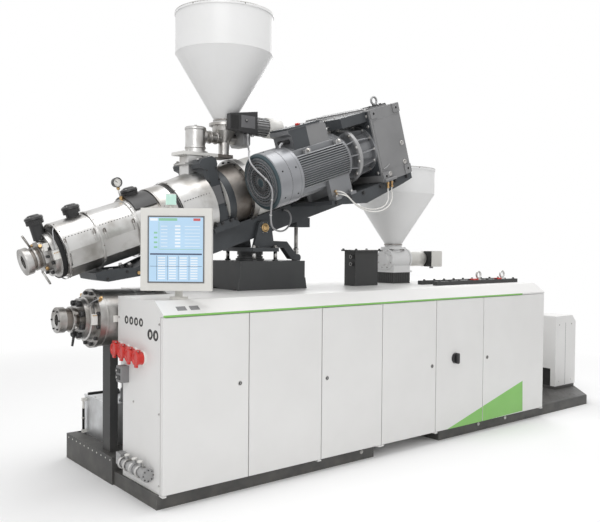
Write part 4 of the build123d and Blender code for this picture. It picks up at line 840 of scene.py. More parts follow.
@dataclass(frozen=True)
class EndSize:
    """Places on the end face, in metres along -Y from the front edge, and on the tank."""

    ports: tuple[float, ...] = (-0.300, -0.370, -0.440, -0.510)
    port_height: float = 1.150
    port_radius: float = 0.024
    large_ports: tuple[float, ...] = (-0.100, -0.175)
    large_height: float = 1.085
    large_radius: float = 0.030
    bolts: tuple[Pair, ...] = (
        (-0.62, 1.16), (-0.05, 1.16), (-0.62, 0.76), (-0.05, 0.60), (-0.05, 0.15), (-0.40, 0.62),
    )
    sockets: tuple[Pair, ...] = ((-0.270, 0.923), (-0.378, 0.931), (-0.486, 0.939), (-0.594, 0.947))
    plugs: Pair = (0.755, 0.800)
    actuator_rings: tuple[float, ...] = (-0.135, -0.230, -0.315, -0.400, -0.470)
    actuator_unions: tuple[float, ...] = (-0.231, -0.312, -0.416)
    actuator_axis: Pair = (0.205, 0.038)
    lid_screws_x: Pair = (0.110, 0.370)
    lid_screws_y: tuple[float, ...] = (0.148, 0.284, 0.420, 0.556)
    tank_top: float = 0.485


class EndFace(Assembly):
    """Port glands, socket details, valve knobs, and the tank's fittings."""

    size = EndSize()

    def build(self) -> None:
        """Builds every dressing piece of the end face and the tank."""
        self._ports()
        self._sockets()
        self._actuators()
        self._tank()
        self._valve()

    def _ports(self) -> None:
        """Dark cable ports with pressed rims and painted shade inside them, and bolts of the end plates."""
        size = self.size
        mould = self.mould("end_ports", "frame", END)
        places = [(y, size.port_height, size.port_radius) for y in size.ports]
        places += [(y, size.large_height, size.large_radius) for y in size.large_ports]
        rim = ((0.002, 0.55), (0.007, 0.6), (0.0085, 0.95), (0.0075, 1.12), (0.006, 1.15))
        for y, z, radius in places:
            mould.turned(Finish.BLACK, (y, z, -0.006), OUT, [(out, radius * share) for out, share in rim], 32)
            # near-black disc: painted shade inside the port
            mould.rod(Finish.DARK, (y, z, -0.006), (y, z, -0.003), radius * 0.98, sides=24)
            low = (y - radius * 0.30, z - radius * 0.62, -0.003)
            high = (y + radius * 0.42, z + radius * 0.50, 0.001)
            mould.box(Finish.CERAMIC, low, high, 0.002)
        for y, z in size.bolts:
            mould.bolt(Finish.MACHINED, (y, z, 0.0), OUT, 0.006)
        mould.finish()

    def _sockets(self) -> None:
        """White bases and red grips of the power sockets, and the connector's plugs."""
        mould = self.mould("socket_details", "frame", END)
        base = [(0.0, 0.050), (0.009, 0.050), (0.012, 0.046), (0.012, 0.040)]
        for y, z in self.size.sockets:
            mould.turned(Finish.CERAMIC, (y, z, 0), OUT, base, 32)
            mould.box(Finish.RED, (y - 0.014, z - 0.058, 0.040), (y + 0.014, z - 0.040, 0.057), 0.003)
            hinge = z + 0.0485
            mould.rod(Finish.MACHINED, (y - 0.024, hinge, 0.046), (y + 0.024, hinge, 0.046), 0.004, sides=12)
            mould.loop(Finish.RED, (y, z, 0.0585), OUT, 0.040, 0.0022)
        for low in self.size.plugs:
            mould.box(Finish.BLACK, (-0.540, low, 0.0595), (-0.475, low + 0.030, 0.066), 0.003)
            middle = low + 0.015
            mould.rod(Finish.MACHINED, (-0.52, middle, 0.066), (-0.52, middle, 0.069), 0.006, sides=16)
        mould.finish()

    def _actuators(self) -> None:
        """Rings, unions and screws on the round actuators."""
        up, out = self.size.actuator_axis
        mould = self.mould("actuator_fittings", "frame", END)
        half_ring = [(0.006, 0.0415), (0.008, 0.0402), (0.008, 0.032)]
        ring = [(-along, radius) for along, radius in half_ring[::-1]] + half_ring
        for y in self.size.actuator_rings:
            mould.turned(Finish.MACHINED, (y, up, out), ALONG, ring, 36)
        union = [(0, 0.012), (0, 0.017), (0.010, 0.018), (0.014, 0.013), (0.014, 0)]
        for y in self.size.actuator_unions:
            mould.turned(Finish.CERAMIC, (y, up + 0.057, out), UP, union, 20)
        for k in range(8):
            rise, depth = polar(0.034, 45 * k)
            mould.screw(Finish.BLACK, (-0.119, up + rise, out + depth), ALONG, 0.004)
        mould.finish()

    def _tank(self) -> None:
        """Lid screws, filler cap, fluid line and the row of tray screws."""
        top = self.size.tank_top
        mould = self.mould("tank_fittings", "frame", PLAN)
        for x, y in product(self.size.lid_screws_x, self.size.lid_screws_y):
            mould.bolt(Finish.MACHINED, (x, y, top), OUT, 0.005)
        cap = [(0, 0.038), (0.010, 0.038), (0.014, 0.032), (0.030, 0.030), (0.034, 0.026), (0.034, 0)]
        mould.turned(Finish.BLACK, (0.300, 0.480, top), OUT, cap, 32)
        mould.rod(Finish.DARK, (0.073, 0.558, 0.215), (0.073, 0.558, 0.380), 0.0094, sides=16)
        mould.rod(Finish.MACHINED, (0.073, 0.558, 0.300), (0.073, 0.558, 0.312), 0.0125, sides=16)
        mould.finish()
        tray = self.mould("tray_screws", "frame", PLAN)
        for y in (-0.150 + 0.074 * i for i in range(11)):
            tray.rod(Finish.CERAMIC, (-0.0295, y, 0.165), (-0.0305, y, 0.165), 0.006, sides=12)
        tray.finish()

    def _valve(self) -> None:
        """Hexagon unions of the ball valve, and the black sleeve on its lever."""
        valve = self.mould("valve_unions", "frame", frame_of((0.170, 0.250, 0.485), (0, 0, 1), (0, 1, 0)))
        for place in (0.016, 0.049, 0.111):
            valve.rod(Finish.CASTING, (place, 0, 0), (place + 0.018, 0, 0), 0.029, sides=6)
        valve.finish()
        lever = self.mould("valve_lever_sleeve", "lever_body", frame_of((0.170, 0.206, 0.565), (-1, 0, 0)))
        lever.box(Finish.BLACK, (0.080, -0.010, -0.006), (0.208, 0.010, 0.0085), 0.003)
        lever.finish()


class LowerExtruder(Assembly):
    """Bolts, terminal blocks, fittings and bands of the lower barrel."""

    def build(self) -> None:
        """Builds the dressing of the lower barrel and die head."""
        self._die()
        self._wiring()
        self._cover()

    def _die(self) -> None:
        """Bolt circles, heater bands and probes of the die head."""
        mould = self.mould("lower_die_bolts", "frame", LOWER)
        for along, circle_radius, count, radius, start in (
            (-0.119, 0.180, 12, 0.013, 15), (-0.199, 0.116, 8, 0.020, 22.5), (-0.3535, 0.068, 6, 0.006, 30),
        ):
            mould.bolt_circle(Finish.BLACK, along, -1, circle_radius, count, radius, start, screws=True)
        mould.band(Finish.BURNT, -0.300, -0.215, 0.0745)
        mould.band(Finish.MACHINED, -0.262, -0.240, 0.078, 0.010)
        for degrees in (65, 115):
            mould.spoke(Finish.MACHINED, -0.251, degrees, 0.080, 0.125, 0.009, sides=14)
        mould.rod(Finish.BLACK, (-0.235, -0.085, 0.030), (-0.262, -0.175, 0.060), 0.010, 0.008, 14)
        mould.finish()

    def _wiring(self) -> None:
        """Terminal blocks, brass plugs and wires of the die head."""
        wiring = self.mould("lower_die_wiring", "frame", LOWER)
        for along, out in ((-0.150, 0.152), (-0.160, 0.100)):
            low, high = (along - 0.020, -0.030, out - 0.004), (along + 0.020, 0.045, out + 0.022)
            wiring.box(Finish.CERAMIC, low, high, 0.003)
            for spot in (along - 0.012, along, along + 0.012):
                foot, head = (spot, 0.035, out + 0.022), (spot, 0.035, out + 0.026)
                wiring.rod(Finish.BRASS, foot, head, 0.004, sides=10)
        for degrees in (-48, 48):
            wiring.spoke(Finish.BRASS, -0.104, degrees, 0.200, 0.222, 0.013, sides=6)
            wiring.spoke(Finish.BRASS, -0.104, degrees, 0.222, 0.236, 0.008, sides=14)
        wiring.wire(Finish.BLACK, [
            (-0.150, 0.040, 0.165), (-0.150, 0.100, 0.150), (-0.125, 0.150, 0.110), (-0.095, 0.180, 0.105),
            (-0.060, 0.182, 0.090),
        ], 0.004)
        wiring.wire(Finish.CABLE, [
            (-0.160, 0.040, 0.115), (-0.165, 0.110, 0.112), (-0.140, 0.135, 0.150), (-0.104, 0.148, 0.164),
        ], 0.003)
        wiring.finish()

    def _cover(self) -> None:
        """Bands, blocks and slots of the barrel cover; the slots are painted shade."""
        cover = self.mould("lower_cover_fittings", "frame", LOWER)
        for start in (-0.070, 0.170, 0.395):
            cover.band(Finish.MACHINED, start, start + 0.016, 0.198, 0.0012)
        cover.box(Finish.CERAMIC, (-0.030, -0.015, 0.190), (0.020, 0.030, 0.204), 0.002)
        cover.box(Finish.BLACK, (0.050, -0.030, 0.186), (0.110, 0.020, 0.204), 0.003)
        for along in (0.058 + 0.014 * k for k in range(4)):
            cover.rod(Finish.DARK, (along, -0.005, 0.204), (along, -0.005, 0.2048), 0.004, sides=12)
        # The slots are thin near-black boxes: painted shade inside them.
        up, out = polar(0.198, 24)
        for along in (0.262 + 0.020 * k for k in range(6)):
            low, high = (along - 0.005, up - 0.020, out - 0.012), (along + 0.005, up - 0.004, out - 0.009)
            cover.box(Finish.DARK, low, high)
        cover.finish()


@dataclass(frozen=True)
class UpperSize:
    """Places along the co-extruder's axis, and radii, in metres."""

    bands: tuple[tuple[float, float, float, Finish], ...] = (
        (0.234, 0.246, 0.196, Finish.MACHINED), (0.481, 0.497, 0.205, Finish.MACHINED),
        (0.768, 0.784, 0.211, Finish.MACHINED), (0.978, 0.992, 0.232, Finish.MACHINED),
        (1.096, 1.104, 0.237, Finish.BLACK), (1.105, 1.129, 0.226, Finish.BLACK),
        (1.131, 1.142, 0.246, Finish.MACHINED),
    )
    latches: tuple[tuple[float, float, float], ...] = (
        (0.245, 0.196, 78), (0.455, 0.196, 78), (0.525, 0.202, 82), (0.745, 0.202, 82), (0.812, 0.214, 86),
        (0.955, 0.214, 86),
    )
    dots: tuple[tuple[float, float, float, float], ...] = (
        (0.262, 0.465, 0.1965, 62), (0.512, 0.752, 0.2025, 60), (1.000, 1.085, 0.2325, 66),
    )
    cone_dots: tuple[float, float, float, float] = (1.160, 1.390, 0.254, 70)
    rivets: tuple[Pair, ...] = ((0.250, 0.197), (0.490, 0.2065), (0.776, 0.2125), (1.137, 0.2475))
    blowers: tuple[float, ...] = (0.158, 0.419, 0.871)
    gauge: float = 0.784
    seams: Pair = (2.052, 2.392)
    feed: Pair = (1.405, 1.525)


class UpperBarrel(Assembly):
    """Die head, covers, blowers, gauge and feed block of the co-extruder."""

    size = UpperSize()

    def build(self) -> None:
        """Builds the dressing from the die to the feed block."""
        self._clamp()
        self._heater()
        self._bands()
        self._latches()
        self._dots()
        self._blowers()
        self._gauge()
        self._feed_block()
        self._neck()
        self._tray()

    def _clamp(self) -> None:
        """Clamp and swing bolts of the die."""
        mould = self.mould("upper_die_clamp", "coextruder", UPPER)
        mould.band(Finish.MACHINED, 0.002, 0.047, 0.088, 0.002)
        mould.bolt_circle(Finish.BLACK, 0.0085, -1, 0.067, 6, 0.0055, 30, screws=True)
        mould.band(Finish.BURNT, 0.050, 0.112, 0.0705, 0.001)
        mould.band(Finish.MACHINED, 0.072, 0.086, 0.072, 0.008)
        threads = 9
        for start, end in (((0.070, 0.079), (0.041, 0.171)), ((0.095, -0.091), (0.122, -0.189))):
            first, last = Vector((*start, 0.030)), Vector((*end, 0.030))
            mould.rod(Finish.MACHINED, first, last, 0.007, sides=14)
            for share in (0.45 + 0.5 * k / threads for k in range(threads)):
                near, far = first.lerp(last, share), first.lerp(last, share + 0.03)
                mould.rod(Finish.MACHINED, near, far, 0.0085, sides=12)
        mould.finish()

    def _heater(self) -> None:
        """Heater adapter with its plugs, terminal blocks and cable."""
        heater = self.mould("upper_die_heater", "coextruder", UPPER)
        heater.bolt_circle(Finish.BLACK, 0.161, -1, 0.128, 8, 0.012, 22.5, screws=True)
        for degrees in range(0, 360, 90):
            heater.spoke(Finish.BLACK, 0.135, degrees, 0.104, 0.122, 0.010, sides=12)
            heater.spoke(Finish.BRASS, 0.118, degrees + 45, 0.098, 0.116, 0.012, sides=14)
        heater.box(Finish.CERAMIC, (0.155, -0.030, 0.138), (0.205, 0.030, 0.165), 0.003)
        heater.box(Finish.CERAMIC, (0.120, 0.040, 0.100), (0.158, 0.090, 0.124), 0.003)
        for along in (0.163 + 0.011 * k for k in range(4)):
            heater.rod(Finish.BRASS, (along, 0.015, 0.165), (along, 0.015, 0.168), 0.0035, sides=10)
        heater.band(Finish.DARK, 0.197, 0.232, 0.172, 0.004)
        heater.wire(Finish.CABLE, [
            (0.180, 0.030, 0.160), (0.190, 0.100, 0.150), (0.215, 0.150, 0.110), (0.240, 0.175, 0.085),
        ], 0.0035)
        heater.finish()

    def _bands(self) -> None:
        """Seam bands between the covers."""
        bands = self.mould("cover_bands", "coextruder", UPPER)
        for start, end, radius, finish in self.size.bands:
            bands.band(finish, start, end, radius, 0.0012)
        bands.finish()

    def _latches(self) -> None:
        """Draw latches with their wires."""
        mould = self.mould("cover_latches", "coextruder", UPPER)
        for along, radius, degrees in self.size.latches:
            up, out = polar(radius, degrees)
            low, high = (along - 0.010, up - 0.028, out - 0.004), (along + 0.010, up + 0.018, out + 0.010)
            mould.box(Finish.MACHINED, low, high, 0.002)
            low, high = (along - 0.007, up + 0.018, out - 0.004), (along + 0.007, up + 0.050, out + 0.004)
            mould.box(Finish.BURNT, low, high, 0.002)
            mould.wire(Finish.MACHINED, [
                (along - 0.006, up - 0.010, out + 0.011), (along - 0.006, up + 0.042, out + 0.006),
                (along + 0.006, up + 0.042, out + 0.006), (along + 0.006, up - 0.010, out + 0.011),
            ], 0.0018)
        mould.finish()

    def _dots(self) -> None:
        """Dotted seams and rivets on the covers."""
        dots = self.mould("cover_dots", "coextruder", UPPER)
        for row in (*self.size.dots, self.size.cone_dots):
            start, end, radius, degrees = row
            count = int((end - start) / 0.020)
            for k in range(count):
                along = start + (end - start) * k / (count - 1)
                rise = 0.010 * k / count - 0.004 if row == self.size.cone_dots else 0.0
                near, far = radius + rise - 0.003, radius + rise + 0.0012
                dots.spoke(Finish.DARK, along, degrees, near, far, 0.0035, sides=8)
        for (along, radius), degrees in product(self.size.rivets, (20, 45, 100, 130, 160)):
            dots.spoke(Finish.BURNT, along, degrees, radius, radius + 0.003, 0.005, 0.003, 10)
        dots.finish()

    def _blowers(self) -> None:
        """Grooves, screws and centre caps of the blower lids, and a sleeve on the axis."""
        mould = self.mould("blower_caps", "coextruder", UPPER)
        cap = [(0.2715, 0.040), (0.276, 0.038), (0.279, 0.030), (0.279, 0)]
        for along in self.size.blowers:
            for low in (0.222, 0.232, 0.241):
                groove = [(low, 0.0575), (low + 0.001, 0.0595), (low + 0.004, 0.0595), (low + 0.005, 0.0575)]
                mould.turned(Finish.RUBBER, (along, 0, 0), UP, groove, 40)
            mould.turned(Finish.BLACK, (along, 0, 0), UP, cap, 36)
            for degrees in range(45, 360, 90):
                shift, out = polar(0.048, degrees)
                mould.screw(Finish.MACHINED, (along + shift, 0.2665, out), UP, 0.004)
            mould.band(Finish.MACHINED, along - 0.004, along + 0.004, 0.001, 0.0001)
        mould.finish()

    def _gauge(self) -> None:
        """Round pressure gauge on a steel stem."""
        along, height = self.size.gauge, 0.334
        mould = self.mould("pressure_gauge", "coextruder", UPPER)
        for finish, low, high, radius, sides in (
            (Finish.MACHINED, 0.205, 0.300, 0.008, 16), (Finish.BRASS, 0.210, 0.232, 0.014, 6),
            (Finish.BRASS, 0.284, 0.300, 0.012, 6),
        ):
            mould.rod(finish, (along, low, 0.030), (along, high, 0.030), radius, sides=sides)
        case = [
            (0, 0), (0, 0.033), (0.026, 0.033), (0.032, 0.036), (0.036, 0.036), (0.037, 0.031),
            (0.030, 0.030),
        ]
        face = [(0.030, 0.0305), (0.0305, 0.015), (0.0305, 0)]
        mould.turned(Finish.BLACK, (along, height, 0.012), OUT, case, 44)
        mould.turned(Finish.CERAMIC, (along, height, 0.012), OUT, face, 36)
        for degrees in (-45 + 27 * k for k in range(11)):
            ends = (polar(radius, degrees) for radius in (0.022, 0.028))
            mould.wire(Finish.BLACK, [(along + shift, height + rise, 0.0432) for shift, rise in ends], 0.0007)
        mould.wire(Finish.BLACK, [(along, height, 0.044), (along - 0.015, height + 0.018, 0.044)], 0.0012)
        mould.finish()

    def _feed_block(self) -> None:
        """Bolts and cap plate of the feed block."""
        start, end = self.size.feed
        mould = self.mould("feed_block_bolts", "coextruder", UPPER)
        for up, along in product((-0.130, -0.040, 0.060, 0.160, 0.250), (start + 0.018, end - 0.018)):
            mould.screw(Finish.BLACK, (along, up, 0.1995), OUT, 0.007)
        for along in (start - 0.030, start + 0.020, end - 0.020, end + 0.028):
            mould.bolt(Finish.BLACK, (along, -0.160, 0.2195), OUT, 0.012)
        for along, out in product((start, end - 0.020), (-0.150, -0.050, 0.050, 0.150)):
            mould.bolt(Finish.MACHINED, (along, 0.340, out), UP, 0.010)
        mould.box(Finish.TERMINAL, (start + 0.022, -0.020, 0.1995), (end - 0.022, 0.120, 0.2025), 0.002)
        mould.finish()

    def _neck(self) -> None:
        """Neck behind the feed block, darkened with painted shade, its flange, and the housing's seams."""
        neck = self.mould("drive_neck", "coextruder", UPPER)
        # The CAST and BURNT bands paint the shade on the stainless neck.
        neck.band(Finish.CAST, 1.527, 1.590, 0.232, 0.002)
        neck.band(Finish.BURNT, 1.591, 1.738, 0.232, 0.0025)
        neck.band(Finish.MACHINED, 1.7405, 1.7915, 0.266, 0.0015)
        for along, way, inner in ((1.7395, -0.001, 0.234), (1.7925, 0.001, 0.244)):
            lip = [(0, inner), (way, inner + 0.002), (way, 0.264), (0, 0.2665)]
            neck.turned(Finish.MACHINED, (along, 0, 0), ALONG, lip, 72)
        neck.bolt_circle(Finish.BLACK, 1.7385, -1, 0.250, 20, 0.008, 9, screws=True)
        neck.band(Finish.DARK, 1.7935, 1.7985, 0.2442, 0.0006)
        for seam in self.size.seams:
            neck.band(Finish.DARK, seam - 0.0038, seam + 0.0038, 0.2412, 0.0010)
            for degrees in (18, 44, 70, 96, 122):
                neck.spoke(Finish.DARK, seam - 0.018, degrees, 0.2438, 0.2438 * 1.006, 0.004, sides=10)
        neck.finish()

    def _tray(self) -> None:
        """Fittings in the open tip of the beam, and bolts along it."""
        mould = self.mould("tray_fittings", "coextruder", UPPER)
        for along, radius, length in (
            (0.430, 0.018, 0.030), (0.520, 0.022, 0.036), (0.600, 0.016, 0.050), (0.665, 0.020, 0.030),
        ):
            foot, head, tip = ((along, -0.262 + rise, 0.110) for rise in (0, length, length + 0.012))
            mould.rod(Finish.BLACK, foot, head, radius, sides=18)
            mould.rod(Finish.MACHINED, head, tip, radius * 0.7, sides=6)
        for finish, along, up, end, radius, sides in (
            (Finish.RED, 0.751, -0.300, 0.152, 0.024, 24), (Finish.BRASS, 0.700, -0.305, 0.150, 0.012, 16),
            (Finish.BRASS, 0.720, -0.322, 0.148, 0.009, 16),
        ):
            mould.rod(finish, (along, up, 0.139), (along, up, end), radius, sides=sides)
        for along in (0.470, 0.620, 0.800, 1.000, 1.250):
            mould.bolt(Finish.BLACK, (along, -0.270 if along < 0.9 else -0.250, 0.1395), OUT, 0.008)
        for along in (2.200, 2.350, 2.500, 2.700, 2.880, 3.020):
            mould.bolt(Finish.BLACK, (along, -0.236, 0.6495), OUT, 0.013)
        mould.finish()


@dataclass(frozen=True)
class DriveSize:
    """Places on the motor and the gearbox."""

    shroud_front: float = 1.679
    swirl_blades: int = 26
    swirl_steps: int = 8
    flange: tuple[float, float, float] = (2.499, 2.527, 0.225)
    gearbox_face: float = 0.675
    gearbox_along: Pair = (2.720, 3.065)
    gearbox_up: Pair = (-0.212, 0.377)
    pivot: Point = (1.261, 0.0, 1.7917)
    spindle: Pair = (1.664, -0.065)


class Drive(Assembly):
    """Motor grille, flange, terminal box, gearbox fittings and pivot."""

    size = DriveSize()

    def build(self) -> None:
        """Builds the dressing of the drive group."""
        self._fan()
        self._seams()
        self._flange()
        self._feet()
        self._terminal_box()
        self._gearbox_shade_sheet()
        self._gearbox()
        self._oil()
        self._pivot()
        self._columns()
        self._pedestal()

    def _fan(self) -> None:
        """Dark swirl grille and teal rim of the fan cover."""
        front = self.size.shroud_front
        mould = self.mould("fan_grille", "coextruder", MOTOR)
        rim = [(0.010, 0.2118), (0.004, 0.203), (-0.003, 0.197), (-0.003, 0.184), (0.002, 0.181)]
        bowl = [(-0.0005, 0.182), (-0.0072, 0.118), (-0.0085, 0.034)]
        hub = [(-0.0082, 0.034), (-0.011, 0.031), (-0.012, 0.018), (-0.012, 0)]
        mould.turned(Finish.TEAL, (front, 0, 0), ALONG, rim, 72)
        mould.turned(Finish.DARK, (front, 0, 0), ALONG, bowl, 72)
        for radius in (0.060, 0.096, 0.132, 0.168):
            mould.loop(Finish.TEAL, (front - 0.0075, 0, 0), ALONG, radius, 0.0020)
        blades, steps = self.size.swirl_blades, self.size.swirl_steps
        for k in range(blades):
            points = []
            for share in (step / steps for step in range(steps + 1)):
                turn = 2 * pi * k / blades + 0.55 * sin(share * pi * 2.2)
                radius = 0.032 + 0.148 * share
                points.append((front - 0.0095 + 0.004 * share, radius * cos(turn), radius * sin(turn)))
            mould.wire(Finish.TERMINAL, points, 0.0017)
        mould.turned(Finish.TEAL, (front, 0, 0), ALONG, hub, 36)
        mould.finish()

    def _seams(self) -> None:
        """Seams and screws round the fan cover."""
        seams = self.mould("fan_cover_seams", "coextruder", MOTOR)
        seams.band(Finish.DARK, 1.7985, 1.8015, 0.2122, 0.0012)
        seams.band(Finish.TERMINAL, 1.886, 1.890, 0.2150, 0.0005)
        for along, degrees in product((1.735, 1.862), (10, 75, 130, 200, 290)):
            seams.spoke(Finish.DARK, along, degrees, 0.2145, 0.2145 * 1.016, 0.007, 0.005, 12)
        seams.finish()

    def _flange(self) -> None:
        """Bright motor flange with two circles of bolts."""
        start, end, radius = self.size.flange
        mould = self.mould("motor_flange", "coextruder", MOTOR)
        mould.band(Finish.CASTING, start - 0.001, end + 0.001, radius, 0.002)
        lip = [(0, 0.2255), (-0.001, 0.224), (-0.001, 0.196), (0, 0.194)]
        mould.turned(Finish.CASTING, (start - 0.001, 0, 0), ALONG, lip, 72)
        mould.bolt_circle(Finish.MACHINED, start - 0.002, -1, 0.210, 12, 0.012, 15)
        mould.bolt_circle(Finish.MACHINED, 2.704, -1, 0.182, 12, 0.011)
        mould.finish()

    def _feet(self) -> None:
        """Pads with bolts on the motor's feet and side, and the eye on its top."""
        feet = self.mould("motor_pads", "coextruder", MOTOR)
        for along in (2.215, 2.375):
            feet.box(Finish.MOTOR, (along - 0.030, -0.284, 0.135), (along + 0.030, -0.262, 0.196), 0.003)
            feet.bolt(Finish.MACHINED, (along, -0.262, 0.172), UP, 0.013)
        for along in (2.05, 2.37):
            feet.box(Finish.CASTING, (along - 0.030, 0.118, 0.128), (along + 0.030, 0.150, 0.160), 0.004)
            feet.bolt(Finish.MACHINED, (along, 0.142, 0.158), (0, 0.7, 0.7), 0.012)
        feet.finish()
        eye = self.mould("motor_eye", "coextruder", MOTOR)
        eye.rod(Finish.MACHINED, (2.435, 0.182, 0.0), (2.435, 0.200, 0.0), 0.020, 0.016, 24)
        eye.loop(Finish.MACHINED, (2.435, 0.226, 0.0), OUT, 0.022, 0.007)
        eye.finish()

    def _terminal_box(self) -> None:
        """Lid, screws, cable glands and red plugs on the terminal box, and painted shade and light on its
        side.
        """
        mould = self.mould("terminal_box", "coextruder", MOTOR)
        mould.box(Finish.CAST, (1.956, 0.3185, -0.122), (2.262, 0.3335, 0.122), 0.003)
        for along, out in product((1.972, 2.112, 2.246), (-0.108, 0.108)):
            mould.screw(Finish.MACHINED, (along, 0.333, out), UP, 0.006)
        # Two thin sheets on the side face: a dark CAST half paints shade on the left, a lighter GEARBOX half
        # paints light on the right.
        for finish, depth, outline in (
            (Finish.CAST, 0.0015, (
                (1.966, 0.152), (1.966, 0.272), (1.944, 0.292), (1.944, 0.316), (2.120, 0.316),
                (2.120, 0.152),
            )),
            (Finish.GEARBOX, 0.0012, (
                (2.122, 0.152), (2.122, 0.316), (2.292, 0.316), (2.316, 0.288), (2.316, 0.152),
            )),
        ):
            mould.prism(finish, [(along, up, 0.112) for along, up in outline], (0, 0, depth))
        for start, end, out, radius, tip, sides in (
            (1.972, 1.925, 0.060, 0.020, None, 6), (1.927, 1.905, 0.060, 0.014, 0.011, 18),
            (1.972, 1.935, -0.020, 0.018, None, 6),
        ):
            mould.rod(Finish.BLACK, (start, 0.235, out), (end, 0.235, out), radius, tip, sides)
        mould.wire(Finish.CABLE, [
            (1.910, 0.235, 0.060), (1.890, 0.232, 0.062), (1.874, 0.220, 0.064), (1.868, 0.205, 0.066),
        ], 0.009)
        mould.rod(Finish.RED, (2.090, 0.333, 0.055), (2.090, 0.352, 0.055), 0.016, 0.014)
        mould.rod(Finish.RED, (2.120, 0.333, 0.040), (2.120, 0.345, 0.040), 0.011, 0.010, 16)
        mould.finish()

    def _gearbox_shade_sheet(self) -> None:
        """Painted shade on the gearbox's side face as a thin dark sheet, the side's bolts, and the block
        beside it.
        """
        low, bottom = self.size.gearbox_along[0] - 0.0012, self.size.gearbox_up[0] + 0.060
        top, face = self.size.gearbox_up[1], self.size.gearbox_face
        side = self.mould("gearbox_shade_sheet", "coextruder", UPPER)
        # A thin CAST sheet over the gearbox's side face: painted shade, not a real plate.
        corners = ((bottom, face - 0.014), (top - 0.010, face - 0.014), (top - 0.010, 0.245), (bottom, 0.245))
        side.prism(Finish.CAST, [(low, up, out) for up, out in corners], (0.0012, 0, 0))
        for up in (top - 0.045, 0.250, 0.120, -0.020, -0.130):
            side.bolt(Finish.MACHINED, (low + 0.0002, up, face - 0.040), (-1, 0, 0), 0.011)
        side.box(Finish.CAST, (2.44, 0.292, 0.262), (2.718, 0.372, 0.640), 0.004)
        side.finish()

    def _gearbox(self) -> None:
        """Holes of the pads, plugs, pipe, bolts, breather plate and eye of the gearbox."""
        (low, high), (bottom, top) = self.size.gearbox_along, self.size.gearbox_up
        face = self.size.gearbox_face
        mould = self.mould("gearbox_fittings", "coextruder", UPPER)
        # The pad holes are shallow near-black recesses: painted shade inside them.
        hole = [(0, 0.0115), (-0.006, 0.011), (-0.006, 0)]
        for along, up in product((low + 0.043, high - 0.037), (bottom + 0.043, top - 0.037)):
            mould.turned(Finish.DARK, (along, up, face + 0.0092), OUT, hole, 24)
            mould.loop(Finish.CASTING, (along, up, face + 0.0092), OUT, 0.0120, 0.0012)
        plug = [(0, 0.020), (0.008, 0.020), (0.010, 0.014), (0.006, 0.012), (0.006, 0)]
        for along, up in ((high - 0.060, -0.105), (low + 0.090, -0.160), (high - 0.050, 0.050)):
            mould.turned(Finish.MACHINED, (along, up, face + 0.002), OUT, plug, 28)
        mould.wire(Finish.CASTING, [
            (low + 0.030, -0.110, face + 0.004), (low + 0.070, -0.098, face + 0.006),
            (low + 0.105, -0.084, face + 0.004),
        ], 0.0045)
        for along in (low + 0.100, low + 0.160, low + 0.220):
            mould.bolt(Finish.BLACK, (along, top + 0.012, face - 0.075), UP, 0.012)
        along, out = low + 0.020, face - 0.060
        mould.rod(Finish.MACHINED, (along, top, out), (along, top + 0.016, out), 0.016, sides=6)
        for along in (2.452, 2.560, 2.668):
            mould.bolt(Finish.MACHINED, (along, 0.3725, 0.450), UP, 0.010)
        near, far = (high - 0.215, top + 0.0115, face - 0.190), (high - 0.085, top + 0.019, face - 0.050)
        mould.box(Finish.BLACK, near, far, 0.003)
        mould.loop(Finish.CASTING, (high - 0.150, top + 0.056, face - 0.110), OUT, 0.030, 0.0088)
        mould.finish()

    def _oil(self) -> None:
        """Brass unions at both ends of the oil hoses."""
        oil = self.mould("oil_fittings", "coextruder", PLAN)
        union = ((0, 0.016, 0.0125, 6), (0.016, 0.050, 0.0098, 18), (0.034, 0.048, 0.0125, 6))
        for (x, z), (low, high, radius, sides) in product(((2.115, 2.122), (2.158, 2.134)), union):
            oil.rod(Finish.BRASS, (x, -0.690, z + low), (x, -0.690, z + high), radius, sides=sides)
        for x, z in ((1.594, 2.073), (1.607, 2.051)):
            oil.rod(Finish.BRASS, (x, -0.634, z), (x, -0.646, z), 0.0105, sides=6)
        oil.finish()

    def _pivot(self) -> None:
        """Brass ring, keeper screws and bolts at the pivot, and the end of its pin."""
        spot = frame_of(self.size.pivot)
        mould = self.mould("pivot_ring", "frame", spot)
        ring = [(0, 0.024), (0, 0.034), (0.006, 0.035), (0.009, 0.032), (0.009, 0.025), (0.006, 0.024)]
        mould.turned(Finish.BRASS, (0, 0, 0.1755), OUT, ring, 44)
        for degrees in range(0, 360, 60):
            mould.screw(Finish.MACHINED, (*polar(0.043, degrees), 0.1755), OUT, 0.0035)
        for along in (-0.085, 0.072):
            mould.bolt(Finish.BLACK, (along, -0.158, 0.196), UP, 0.011)
        mould.finish()
        pin = self.mould("pivot_pin_end", "coextruder", spot)
        profile = [(0, 0.0215), (0.001, 0.020), (0.001, 0.008), (0.003, 0.006), (0.003, 0)]
        pin.turned(Finish.BRASS, (0, 0, 0.1838), OUT, profile, 36)
        pin.finish()

    def _columns(self) -> None:
        """Sleeves, nuts and studs of the lift columns."""
        lift = self.mould("lift_columns", "frame", PLAN)
        parts = ((1.540, 1.6015, 0.0148, 28), (1.632, 1.642, 0.018, 6), (1.642, 1.652, 0.010, 16))
        for x, y, (low, high, radius, sides) in product((1.149, 1.357), (-0.186, 0.186), parts):
            lift.rod(Finish.MACHINED, (x, y, low), (x, y, high), radius, sides=sides)
        lift.finish()

